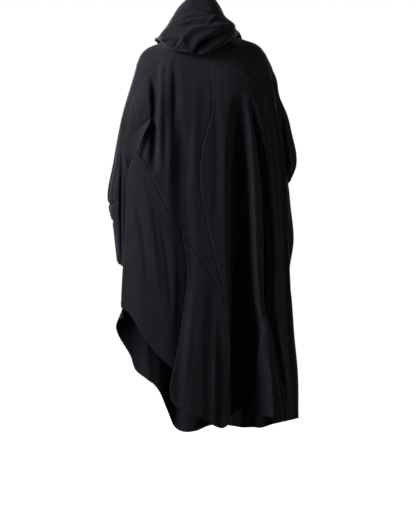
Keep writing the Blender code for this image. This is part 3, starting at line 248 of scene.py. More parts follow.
# Hood sections: the turn in degrees from the back towards the wearer's right, then the
# turned-over rim, the bulge, the belly and the lower edge there
HOOD_ROWS = (
    (0, (-0.005, -0.088, 0.178), (-0.005, -0.128, 0.100), (-0.006, -0.158, 0.010),
     (-0.006, -0.136, -0.046)),
    (33, (0.036, -0.080, 0.158), (0.063, -0.112, 0.090), (0.085, -0.136, 0.020),
     (0.073, -0.120, -0.014)),
    (55, (0.066, -0.045, 0.118), (0.086, -0.070, 0.078), (0.120, -0.086, 0.040),
     (0.110, -0.080, 0.018)),
    (74, (0.078, 0.000, 0.075), (0.103, -0.005, 0.058), (0.134, -0.010, 0.037),
     (0.128, -0.010, 0.033)),
    (134, (0.070, 0.065, 0.030), (0.092, 0.085, 0.012), (0.106, 0.106, -0.012),
     (0.100, 0.114, -0.036)),
    (196, (0.000, 0.100, -0.015), (0.000, 0.120, -0.028), (0.000, 0.142, -0.055),
     (0.000, 0.142, -0.085)),
    (235, (-0.070, 0.065, 0.026), (-0.094, 0.086, 0.006), (-0.110, 0.108, -0.018),
     (-0.102, 0.116, -0.042)),
    (299, (-0.084, 0.000, 0.075), (-0.116, -0.010, 0.054), (-0.154, -0.020, 0.020),
     (-0.147, -0.020, 0.014)),
    (314, (-0.084, -0.045, 0.115), (-0.116, -0.076, 0.062), (-0.138, -0.102, 0.010),
     (-0.112, -0.100, -0.026)),
    (332, (-0.044, -0.080, 0.155), (-0.075, -0.114, 0.088), (-0.084, -0.146, 0.008),
     (-0.065, -0.130, -0.036)),
)

# Armholes and side seams: heights of their ends and of the points between
# A value that ends in across is a length around the body, from the place the armhole follows
ARMHOLE_L = {"top": -0.078, "front_top": -0.190, "front_upper": -0.290, "front_lower": -0.390,
             "underarm": -0.450, "shoulder_front": -0.112, "raglan_middle": -0.120,
             "front_upper_across": -0.010, "front_lower_across": -0.004}
ARMHOLE_R = {"top": -0.058, "front_top": -0.150, "back_upper": -0.150, "back_middle": -0.300,
             "back_lower": -0.410, "front_upper": -0.300, "front_lower": -0.440,
             "underarm": -0.474, "shoulder_front": -0.088, "raglan_middle": -0.125,
             "back_across": 0.006, "back_lower_across": 0.010, "underarm_across": -0.016,
             "front_upper_across": 0.010, "front_lower_across": -0.006}
ARMHOLE_BACK_L = ((-0.236, -0.408),)
FRONT_RAGLAN_TURNS = (-0.36, 0.35)      # where the front raglans leave the neckline, as turns
SIDE_BEND_R = -0.620


# The edges of each body piece in turn, with a minus where the line is followed backwards
OUTLINES = {
    "yoke_left": ("-neck_yoke", "front_raglan_l", "armhole_l_top", "armhole_l_shoulder",
                  "-left_raglan"),
    "back_centre": ("-neck_centre", "left_raglan", "low_raglan", "long_diagonal", "low_diagonal",
                    "-centre"),
    "back_left": ("armhole_l_back", "side_l", "hem_back_left", "-middle", "-long_diagonal"),
    "back_middle": ("middle", "hem_middle_edge", "hem_back_middle", "-crease", "-low_diagonal"),
    "back_right": ("-neck_right", "centre", "crease", "hem_back_right", "-right_raglan"),
    "side_right": ("-neck_side", "right_raglan", "hem_side_right", "-side_r", "-armhole_r_back",
                   "-armhole_r_top", "-front_raglan_r"),
    "front": ("-neck_front", "front_raglan_r", "-armhole_r_front", "side_r", "-hem_front",
              "-side_l", "armhole_l_front", "-front_raglan_l"),
}
TURNED_EDGES = {"front": ("side_l", "armhole_l_front", "front_raglan_l")}   # met a whole turn on

# Smooth interpolation
def tangents(knots, values, period=None):
    """Slopes at the knots, from the neighbours on both sides."""
    if period is None:
        return np.gradient(values, knots, axis=0)
    before = np.roll(values, 1, axis=0)
    after = np.roll(values, -1, axis=0)
    gap_before = (knots - np.roll(knots, 1)) % period
    gap_after = (np.roll(knots, -1) - knots) % period
    shape = (-1,) + (1,) * (values.ndim - 1)
    gap_before = gap_before.reshape(shape)
    gap_after = gap_after.reshape(shape)
    rise_before = (values - before) / gap_before
    rise_after = (after - values) / gap_after
    return (rise_before * gap_after + rise_after * gap_before) / (gap_before + gap_after)


def hermite(first, second, slope_first, slope_second, span, share):
    """A cubic between two values with the given slopes."""
    square = share * share
    cube = square * share
    return ((2 * cube - 3 * square + 1) * first + (cube - 2 * square + share) * span * slope_first
            + (3 * square - 2 * cube) * second + (cube - square) * span * slope_second)


def track(knots, values, places, period=None):
    """Values read at places along a smooth track through the knots."""
    knots = np.asarray(knots, dtype=float)
    values = np.asarray(values, dtype=float)
    places = np.asarray(places, dtype=float)
    slopes = tangents(knots, values, period)
    if period is None:
        places = np.clip(places, knots[0], knots[-1])
        index = np.clip(np.searchsorted(knots, places, side="right") - 1, 0, len(knots) - 2)
        after = index + 1
        span = knots[after] - knots[index]
        share = (places - knots[index]) / span
    else:
        places = (places - knots[0]) % period + knots[0]
        index = np.searchsorted(knots, places, side="right") - 1
        after = (index + 1) % len(knots)
        span = (knots[after] - knots[index]) % period
        share = (places - knots[index]) / span
    shape = share.shape + (1,) * (values.ndim - 1)
    share = share.reshape(shape)
    span = span.reshape(shape)
    return hermite(values[index], values[after], slopes[index], slopes[after], span, share)


def unit(vectors):
    return vectors / np.maximum(np.linalg.norm(vectors, axis=-1, keepdims=True), LEAST)


# Body surface
def section_points(row):
    """The control points of one level, from the middle of the back by the right side round."""
    value = dict(zip(RING_COLUMNS, row))
    back = value["back"]
    front = value["front"]

    def half(sign, side):
        edge = value["edge_" + side]
        edge_y = value["edge_y_" + side]
        wall = value["side_" + side]
        corner = value["corner_" + side]
        flange = value["flange_" + side]
        inset = SOFT_EDGE[0] + (SHARP_EDGE[0] - SOFT_EDGE[0]) * flange
        thick = SOFT_EDGE[1] + (SHARP_EDGE[1] - SOFT_EDGE[1]) * flange
        depth = front - edge_y
        thick = min(thick, 0.15 * depth)
        shoulder = min(0.055, 0.30 * edge)
        points = (
            (0.50 * edge, back * 0.985),
            (edge - shoulder, back + 0.35 * (edge_y - back)),
            (edge - inset, edge_y - thick),
            (edge, edge_y),
            (edge - inset, edge_y + thick),
            (wall, edge_y + 0.22 * depth),
            (wall, edge_y + 0.50 * depth),
            (corner, edge_y + 0.86 * depth),
            (0.45 * corner, front),
        )
        return [(sign * x, y) for x, y in points]

    right = half(1.0, "r")
    left = half(-1.0, "l")
    return [(0.0, back)] + right + [(0.0, front)] + left[::-1]


SECTION_Z = np.array([row[0] for row in RING_ROWS])[::-1]
SECTIONS = np.array([section_points(row) for row in RING_ROWS])[::-1]
REFERENCE = track(SECTION_Z, SECTIONS, np.array([REFERENCE_Z]))[0]
STEPS = np.linalg.norm(np.roll(REFERENCE, -1, axis=0) - REFERENCE, axis=1)
GIRTH = float(STEPS.sum())
KNOTS = np.concatenate(([0.0], np.cumsum(STEPS)[:-1]))
PLACES = ("back", "back_inner", "back_outer", "edge_behind", "edge", "edge_front", "recess",
          "side", "corner", "front_inner")
RIGHT = {name: float(KNOTS[index]) for index, name in enumerate(PLACES)}
LEFT = {name: float(KNOTS[-index] - GIRTH) for index, name in enumerate(PLACES) if index}


def base_point(around, z):
    """The unfolded body surface at a place around and a height."""
    sections = track(SECTION_Z, SECTIONS, z)
    slopes = tangents(KNOTS, sections.transpose(1, 0, 2), GIRTH).transpose(1, 0, 2)
    places = around % GIRTH
    index = np.clip(np.searchsorted(KNOTS, places, side="right") - 1, 0, len(KNOTS) - 1)
    after = (index + 1) % len(KNOTS)
    span = (KNOTS[after] - KNOTS[index]) % GIRTH
    share = (places - KNOTS[index]) / span
    rows = np.arange(len(places))
    flat = hermite(sections[rows, index], sections[rows, after], slopes[rows, index],
                   slopes[rows, after], span[:, None], share[:, None])
    return np.column_stack((flat, z))


def find_around(x, z, low, high):
    """The place around where the unfolded surface has this x, between two places."""
    x = np.asarray(x, dtype=float)
    z = np.asarray(z, dtype=float)
    start = np.full(x.shape, low)
    end = np.full(x.shape, high)
    rising = base_point(end, z)[:, 0] > base_point(start, z)[:, 0]
    for _ in range(HALVINGS):
        middle = (start + end) / 2
        over = (base_point(middle, z)[:, 0] > x) == rising
        end = np.where(over, middle, end)
        start = np.where(over, start, middle)
    return (start + end) / 2


def on_back(x, z):
    return find_around(x, z, LEFT["edge"], RIGHT["edge"])


def on_front(x, z):
    return find_around(x, z, RIGHT["corner"], LEFT["corner"] + GIRTH)


def fold_tracks(folds, place):
    """Each fold's heights, with its centre around, depth, widths and flat share at them."""
    tracks = []
    for rows in folds.values():
        table = np.array(rows)[::-1]
        centre = place(table[:, 1], table[:, 0])
        tracks.append((table[:, 0], np.column_stack((centre, table[:, 2:]))))
    return tracks


FOLDS = fold_tracks(BACK_FOLDS, on_back) + fold_tracks(FRONT_FOLDS, on_front)


FOLD_START = 0.03       # length over which a fold begins above its first row
SLOPE_STEP = 0.002      # step for the surface's slope around
NORMAL_STEP = 0.0015    # step for the surface's normal


def fold_depth(around, z):
    """How far the folds carry the cloth inward at each place."""
    depth = np.zeros(len(z))
    for heights, values in FOLDS:
        centre, deep, left, right, flat = track(heights, values, z).T
        fade = np.clip((heights[-1] + FOLD_START - z) / FOLD_START, 0.0, 1.0)
        offset = (around - centre + GIRTH / 2) % GIRTH - GIRTH / 2
        reach = np.abs(offset) / np.where(offset < 0, left, right)
        slope = np.clip((reach - flat) / (1 - flat), 0.0, 1.0)
        depth += fade * deep * 0.5 * (1 + np.cos(math.pi * slope))
    return depth


def body_point(around, z):
    """The folded body surface."""
    around = np.asarray(around, dtype=float)
    z = np.asarray(z, dtype=float)
    ahead = base_point(around + SLOPE_STEP, z)
    behind = base_point(around - SLOPE_STEP, z)
    along = unit((ahead - behind)[:, :2])
    outward = np.column_stack((along[:, 1], -along[:, 0], np.zeros(len(z))))
    return base_point(around, z) - outward * fold_depth(around, z)[:, None]


def body_normal(around, z):
    across = body_point(around + NORMAL_STEP, z) - body_point(around - NORMAL_STEP, z)
    upward = body_point(around, z + NORMAL_STEP) - body_point(around, z - NORMAL_STEP)
    return unit(np.cross(across, upward))


# Flattened body: columns that follow the folds, spaced by their longest cloth length
FLAT_LEVELS = (-0.10, -0.30, -0.50, -0.70, -0.90, -1.10, -1.30)


def guide_tracks():
    """Places around that the columns follow, from the left side round."""
    names = list(BACK_FOLDS) + list(FRONT_FOLDS)
    tracks = dict(zip(names, FOLDS))

    def centre(name):
        heights, values = tracks[name]
        return heights, values[:, 0]

    heights, values = tracks["deep_trough"]
    return [
        (None, LEFT["edge"]),
        centre("shoulder_trough"),
        (heights, values[:, 0] - values[:, 2]),
        centre("deep_trough"),
        centre("side_trough"),
        (None, RIGHT["edge"]),
        (None, RIGHT["side"]),
        centre("front_side_trough"),
        centre("front_right_trough"),
        centre("front_middle_trough"),
        centre("front_left_trough"),
        (None, LEFT["side"] + GIRTH),
        (None, LEFT["edge"] + GIRTH),
    ]


GUIDES = guide_tracks()


def guides_at(z):
    """The place of each guide at each height, a row for each height."""
    columns = []
    for heights, places in GUIDES:
        if heights is None:
            columns.append(np.full(len(z), places))
        else:
            columns.append(track(heights, places, z))
    return np.column_stack(columns)


GUIDE_HOME = guides_at(np.array([REFERENCE_Z]))[0]


def between(values, rows_from, rows_to):
    """Each value carried from its place between the first rows to the same share of the second."""
    turns = np.floor((values - rows_from[:, 0]) / GIRTH)
    inner = values - turns * GIRTH
    result = np.zeros(len(values))
    for index in range(rows_from.shape[1] - 1):
        low = rows_from[:, index]
        high = rows_from[:, index + 1]
        here = (inner >= low) & (inner <= high)
        share = (inner - low) / (high - low)
        value = rows_to[:, index] + share * (rows_to[:, index + 1] - rows_to[:, index])
        result = np.where(here, value, result)
    return result + turns * GIRTH


def to_home(around, z):
    """The place at the reference height that belongs to the same column."""
    return between(around, guides_at(z), np.tile(GUIDE_HOME, (len(z), 1)))


def from_home(home, z):
    """The place around at a height, of a column given by its place at the reference height."""
    return between(home, np.tile(GUIDE_HOME, (len(z), 1)), guides_at(z))


def column_lengths():
    """The flat place of each home place, with a whole number of columns between guides."""
    homes = []
    flats = []
    flat = 0.0
    for low, high in zip(GUIDE_HOME[:-1], GUIDE_HOME[1:]):
        home = np.linspace(low + SAME, high - SAME, GUIDE_POINTS)
        longest = np.zeros(len(home) - 1)
        for level in FLAT_LEVELS:
            z = np.full(len(home), level)
            line = body_point(from_home(home, z), z)
            longest = np.maximum(longest, np.linalg.norm(np.diff(line, axis=0), axis=1))
        lengths = np.concatenate(([0.0], np.cumsum(longest)))
        steps = max(1, round(lengths[-1] / GIRTH_STEP))
        homes.append(home)
        flats.append(flat + lengths / lengths[-1] * steps * GIRTH_STEP)
        flat += steps * GIRTH_STEP
    return np.concatenate(homes), np.concatenate(flats), flat


HOME_PLACES, FLAT_PLACES, FLAT_GIRTH = column_lengths()


def height_lengths():
    """Cloth length from the bottom up to each level, along the right shoulder and side."""
    levels = np.linspace(SECTION_Z[0], SECTION_Z[-1], LEVELS)
    line = body_point(np.full(len(levels), RIGHT["edge"]), levels)
    steps = np.linalg.norm(np.diff(line, axis=0), axis=1)
    return levels, np.concatenate(([0.0], np.cumsum(steps)))


HEIGHT_LEVELS, HEIGHT_LENGTHS = height_lengths()


def flatten(places):
    """Places around and up, laid out flat."""
    home = to_home(places[:, 0], places[:, 1])
    turns = np.floor((home - GUIDE_HOME[0]) / GIRTH)
    flat = np.interp(home - turns * GIRTH, HOME_PLACES, FLAT_PLACES) + turns * FLAT_GIRTH
    return np.column_stack((flat, np.interp(places[:, 1], HEIGHT_LEVELS, HEIGHT_LENGTHS)))


def unflatten(points):
    """Flat points carried back to places around and up."""
    z = np.interp(points[:, 1], HEIGHT_LENGTHS, HEIGHT_LEVELS)
    turns = np.floor(points[:, 0] / FLAT_GIRTH)
    home = np.interp(points[:, 0] - turns * FLAT_GIRTH, FLAT_PLACES, HOME_PLACES) + turns * GIRTH
    return np.column_stack((from_home(home, z), z))


# Seam curves in the flattened body
def smooth_line(points, step=EDGE_STEP):
    """A smooth curve through places around and heights, sampled evenly."""
    points = np.asarray(points, dtype=float)
    chords = np.linalg.norm(np.diff(points, axis=0), axis=1)
    knots = np.concatenate(([0.0], np.cumsum(chords)))
    fine = track(knots, points, np.linspace(0, knots[-1], CURVE_POINTS))
    steps = np.linalg.norm(np.diff(body_point(fine[:, 0], fine[:, 1]), axis=0), axis=1)
    lengths = np.concatenate(([0.0], np.cumsum(steps)))
    even = np.linspace(0, lengths[-1], max(1, round(lengths[-1] / step)) + 1)
    return np.column_stack([np.interp(even, lengths, fine[:, axis]) for axis in (0, 1)])


def back_line(points):
    """Places around and up of points given by x and z on the back."""
    points = np.asarray(points, dtype=float)
    return np.column_stack((on_back(points[:, 0], points[:, 1]), points[:, 1]))


def neck_z(around):
    """Height of the neckline at a place around."""
    turn = 2 * math.pi * np.asarray(around) / GIRTH
    once = (NECK_BACK_Z - NECK_FRONT_Z) / 2
    middle = (NECK_BACK_Z + NECK_FRONT_Z) / 2
    mean = (middle + NECK_SIDE_Z) / 2
    twice = middle - mean
    return mean + once * np.cos(turn) + twice * np.cos(2 * turn)


def neck_place(x):
    """The place around where the neckline has this x on the back."""
    around = np.zeros(1)
    for _ in range(NECK_ROUNDS):
        around = on_back(np.array([x]), neck_z(around))
    return float(around[0])


def neck_line(start, end):
    """The neckline between two places around."""
    around = np.linspace(start, end, NECK_POINTS)
    return smooth_line(np.column_stack((around, neck_z(around))), NECK_STEP)


def join(*lines):
    """One closed outline from lines that meet end to end."""
    points = []
    for line in lines:
        for point in line:
            if not points or np.abs(np.asarray(point) - points[-1]).max() > SAME:
                points.append(np.asarray(point, dtype=float))
    if np.abs(points[0] - points[-1]).max() < SAME:
        points.pop()
    return np.array(points)


def build_seams():
    """All seam, armhole and hem lines, by name."""
    line = {}
    neck_l = neck_place(RAGLAN_NECK_X_L)
    neck_c = neck_place(CENTRE_NECK_X)
    neck_r = neck_place(RAGLAN_NECK_X_R)
    neck_fl, neck_fr = (turns * GIRTH for turns in FRONT_RAGLAN_TURNS)

    def start(around):
        return np.array([[around, float(neck_z(around))]])

    for name, points in BACK_LINES.items():
        line[name] = smooth_line(back_line(points))
    line["left_raglan"] = smooth_line(np.vstack((start(neck_l), back_line(LEFT_RAGLAN))))
    line["centre"] = smooth_line(np.vstack((start(neck_c), back_line(CENTRE_SEAM))))
    line["right_raglan"] = smooth_line(np.vstack((start(neck_r), back_line(RIGHT_RAGLAN))))

    # Left armhole
    top_l = (LEFT["edge"], ARMHOLE_L["top"])
    underarm_l = (LEFT["recess"], ARMHOLE_L["underarm"])
    front_l = 0.5 * (LEFT["side"] + LEFT["corner"])
    front_top_l = (front_l, ARMHOLE_L["front_top"])
    line["armhole_l_shoulder"] = smooth_line(np.vstack(([top_l], back_line(SHOULDER_SEAM))))
    behind_l = back_line(BACK_LINES["low_raglan"][-1:] + ARMHOLE_BACK_L)
    line["armhole_l_back"] = smooth_line(np.vstack((behind_l, [underarm_l])))
    lower_l = (front_l + ARMHOLE_L["front_lower_across"], ARMHOLE_L["front_lower"])
    upper_l = (front_l + ARMHOLE_L["front_upper_across"], ARMHOLE_L["front_upper"])
    line["armhole_l_front"] = smooth_line((underarm_l, lower_l, upper_l, front_top_l))
    middle_l = 0.5 * (front_l + LEFT["edge"])
    line["armhole_l_top"] = smooth_line((front_top_l, (middle_l, ARMHOLE_L["shoulder_front"]),
                                         top_l))

    # Right armhole
    top_r = (RIGHT["edge_front"], ARMHOLE_R["top"])
    underarm_r = (RIGHT["side"] + ARMHOLE_R["underarm_across"], ARMHOLE_R["underarm"])
    front_r = 0.5 * (RIGHT["side"] + RIGHT["corner"])
    front_top_r = (front_r, ARMHOLE_R["front_top"])
    behind_r = RIGHT["edge_front"] + ARMHOLE_R["back_across"]
    low_r = (behind_r + ARMHOLE_R["back_lower_across"], ARMHOLE_R["back_lower"])
    line["armhole_r_back"] = smooth_line((top_r, (behind_r, ARMHOLE_R["back_upper"]),
                                          (behind_r, ARMHOLE_R["back_middle"]),
                                          low_r, underarm_r))
    lower_r = (front_r + ARMHOLE_R["front_lower_across"], ARMHOLE_R["front_lower"])
    upper_r = (front_r + ARMHOLE_R["front_upper_across"], ARMHOLE_R["front_upper"])
    line["armhole_r_front"] = smooth_line((underarm_r, lower_r, upper_r, front_top_r))
    middle_r = 0.5 * (front_r + RIGHT["edge"])
    line["armhole_r_top"] = smooth_line((front_top_r, (middle_r, ARMHOLE_R["shoulder_front"]),
                                         top_r))

    # Front raglans and side seams
    for side, neck, top, places in (("l", neck_fl, front_top_l, ARMHOLE_L),
                                    ("r", neck_fr, front_top_r, ARMHOLE_R)):
        middle = (0.5 * (neck + top[0]), places["raglan_middle"])
        line["front_raglan_" + side] = smooth_line(np.vstack((start(neck), [middle], [top])))
    side_end_l = (LEFT["recess"], HEM_SIDE_LEFT_Z)
    side_end_r = (RIGHT["side"], HEM_SIDE_RIGHT_Z)
    line["side_l"] = smooth_line((underarm_l, side_end_l))
    line["side_r"] = smooth_line((underarm_r, (RIGHT["side"], SIDE_BEND_R), side_end_r))

    # Hems
    line["hem_back_left"] = smooth_line(np.vstack(([side_end_l], back_line(HEM_BACK_LEFT))))
    edge_r = (RIGHT["edge"], HEM_EDGE_RIGHT_Z)
    corner_r = back_line(BACK_LINES["hem_back_right"][-1:])
    line["hem_side_right"] = smooth_line(np.vstack((corner_r, [edge_r], [side_end_r])))
    hem_front = np.asarray(HEM_FRONT)
    hem_front = np.column_stack((on_front(hem_front[:, 0], hem_front[:, 1]), hem_front[:, 1]))
    corner_l = (LEFT["corner"] + GIRTH, HEM_CORNER_LEFT_Z)
    line["hem_front"] = smooth_line(np.vstack((
        [(side_end_l[0] + GIRTH, side_end_l[1])], [corner_l], hem_front, [side_end_r])))

    # Neckline
    line["neck_yoke"] = neck_line(neck_fl, neck_l)
    line["neck_centre"] = neck_line(neck_l, neck_c)
    line["neck_right"] = neck_line(neck_c, neck_r)
    line["neck_side"] = neck_line(neck_r, neck_fr)
    line["neck_front"] = neck_line(neck_fr, neck_fl + GIRTH)
    return line


def edge_offset(node, edge):
    """How far round a piece meets one of its edges from where the edge's line lies."""
    return GIRTH if edge in TURNED_EDGES.get(node, ()) else 0.0


def panel_outline(node, line):
    """The closed outline of a body piece, anticlockwise as the cloth is seen from outside."""
    parts = []
    for name in OUTLINES[node]:
        edge = name.lstrip("-")
        points = line[edge] + np.array([edge_offset(node, edge), 0.0])
        parts.append(points[::-1] if name.startswith("-") else points)
    return join(*parts)


# Panels
def inside(points, outline):
    """Which points lie inside a closed outline."""
    x, y = points[:, 0], points[:, 1]
    result = np.zeros(len(points), dtype=bool)
    for first, second in zip(outline, np.roll(outline, -1, axis=0)):
        crosses = (first[1] > y) != (second[1] > y)
        if crosses.any():
            rise = second[1] - first[1]
            rise = rise if abs(rise) > LEAST else LEAST
            at = first[0] + (y - first[1]) * (second[0] - first[0]) / rise
            result ^= crosses & (x < at)
    return result


def line_distance(points, line):
    """Distance from flat points to an open flat line."""
    nearest = np.full(len(points), np.inf)
    for first, second in zip(line[:-1], line[1:]):
        way = second - first
        share = np.clip(((points - first) @ way) / max(way @ way, LEAST), 0, 1)
        nearest = np.minimum(nearest, np.linalg.norm(points - first - share[:, None] * way, axis=1))
    return nearest


def distance_to(points, outline):
    """Distance from flat points to a closed flat outline."""
    return line_distance(points, np.vstack((outline, outline[:1])))


def panel_mesh(outline):
    """Points around and up, and triangles, of one flat panel; the outline's points come first."""
    flat = flatten(outline)
    low = flat.min(axis=0)
    high = flat.max(axis=0)
    columns = np.arange(math.ceil(low[0] / GIRTH_STEP), high[0] / GIRTH_STEP) * GIRTH_STEP
    rows = np.arange(math.ceil(low[1] / HEIGHT_STEP), high[1] / HEIGHT_STEP) * HEIGHT_STEP
    grid = np.array([(column, row) for row in rows for column in columns])
    grid = grid[inside(grid, flat)]
    grid = grid[distance_to(grid, flat) > EDGE_CLEARANCE * GIRTH_STEP]
    points = np.vstack((flat, grid))
    count = len(flat)
    edges = [(index, (index + 1) % count) for index in range(count)]
    found = delaunay_2d_cdt([Vector(point) for point in points], edges, [], 0, WELD)
    made = np.array([tuple(point) for point in found[0]])
    order = np.array([sources[0] for sources in found[3]])
    corners = np.array([list(face) for face in found[2]])
    kept = inside(made[corners].mean(axis=1), flat)
    triangles = order[corners[kept]].tolist()
    places = unflatten(points)
    places[:count] = outline
    return places, triangles, count


def facet_normals(points, triangles):
    """Normals of the points, from the triangles around each."""
    corners = np.array(triangles)
    sides = points[corners]
    facing = np.cross(sides[:, 1] - sides[:, 0], sides[:, 2] - sides[:, 0])
    normals = np.zeros_like(points)
    for corner in range(3):
        np.add.at(normals, corners[:, corner], facing)
    return unit(normals)


# Tubes: sleeves and hood
def grid_triangles(around, along):
    """Two triangles for each cell of a tube's grid."""
    triangles = []
    for row in range(along - 1):
        for column in range(around):
            first = row * around + column
            second = row * around + (column + 1) % around
            third = second + around
            fourth = first + around
            triangles.append((first, fourth, second))
            triangles.append((second, fourth, third))
    return triangles


def grid_normals(grid):
    """Normals of a tube's grid, rows along and columns around."""
    along = np.gradient(grid, axis=0)
    across = np.roll(grid, -1, axis=1) - np.roll(grid, 1, axis=1)
    return unit(np.cross(along, across))


def rounded(turn, roundness):
    """Cosine and sine of a turn, squared off a little."""
    power = 2.0 / roundness
    cosine = np.sign(np.cos(turn)) * np.abs(np.cos(turn)) ** power
    sine = np.sign(np.sin(turn)) * np.abs(np.sin(turn)) ** power
    return cosine, sine


def hood_grid(places, along):
    """The hood's sheet: up from the neckline, over the rim and down outside."""
    table = np.array([row[1:] for row in HOOD_ROWS])
    turns = np.array([row[0] for row in HOOD_ROWS], dtype=float)
    turn = places[:, 0] / GIRTH * 360.0
    profile = track(turns, table, turn, period=360.0)
    base = body_point(places[:, 0], places[:, 1])
    rings = np.concatenate((base[None], profile.transpose(1, 0, 2)))
    steps = np.linalg.norm(np.diff(rings, axis=0), axis=2).mean(axis=1)
    knots = np.concatenate(([0.0], np.cumsum(steps)))
    way = np.linspace(0, knots[-1], along)
    grid = track(knots, rings, way)
    normals = grid_normals(grid)
    outer = np.clip((way - knots[1]) / (knots[2] - knots[1]), 0, 1)
    move = stroke_lift(grid.reshape(-1, 3), normals.reshape(-1, 3), HOOD_STROKES)
    move = move.reshape(grid.shape[:2]) * outer[:, None]
    return pushed(grid + normals * move[:, :, None])[:, ::-1]


# Seam and hem relief
SEAM_VALLEY = (0.0011, 0.0026)      # depth and half-width of the line where two pieces meet
SEAM_RIDGE = (0.0007, 0.0080, 0.0055)   # height, distance and half-width of the cloth turned under
FAINT_RIDGE = 0.12      # share of that height on the side without turned-under cloth
# Seams pressed flatter than the others, with the share of the line's depth
PRESSED = {"centre": 0.22, "left_raglan": 0.35, "low_raglan": 0.8, "right_raglan": 1.0}
HEM_BULGE = (0.0010, 0.0190)        # height and width of the turned hem
HEM_FLAT = 1.3                        # widths over which the turned hem thins out to nothing
HEM_VALLEY = (0.0009, 0.0205, 0.0030)   # depth, distance and half-width of the hem's stitched line
HEM_LINES = ("hem_back_left", "hem_middle_edge", "hem_back_middle", "hem_back_right",
             "hem_side_right", "hem_front")
# The seams whose turned-under cloth lies in this piece, with the share of the ridge's height
RIDGES = {
    "yoke_left": {"left_raglan": 0.1, "armhole_l_shoulder": 1.0, "armhole_l_top": 1.0},
    "back_centre": {"left_raglan": 0.2, "long_diagonal": 0.6, "low_diagonal": 0.6},
    "back_left": {"armhole_l_back": 0.5, "side_l": 0.6, "long_diagonal": 0.4},
    "back_middle": {"middle": 1.0, "low_diagonal": 0.8, "crease": 0.6},
    "back_right": {"centre": 0.15, "right_raglan": 0.7},
    "side_right": {"right_raglan": 0.8, "armhole_r_back": 1.0, "armhole_r_top": 1.0, "side_r": 0.5},
    "front": {"front_raglan_r": 1.0, "front_raglan_l": 1.0, "side_l": 0.6, "side_r": 0.8},
}


def bell(distance, width):
    """A smooth bump: one on its line, and a third of that a width away."""
    return np.exp(-(distance / width) ** 2)


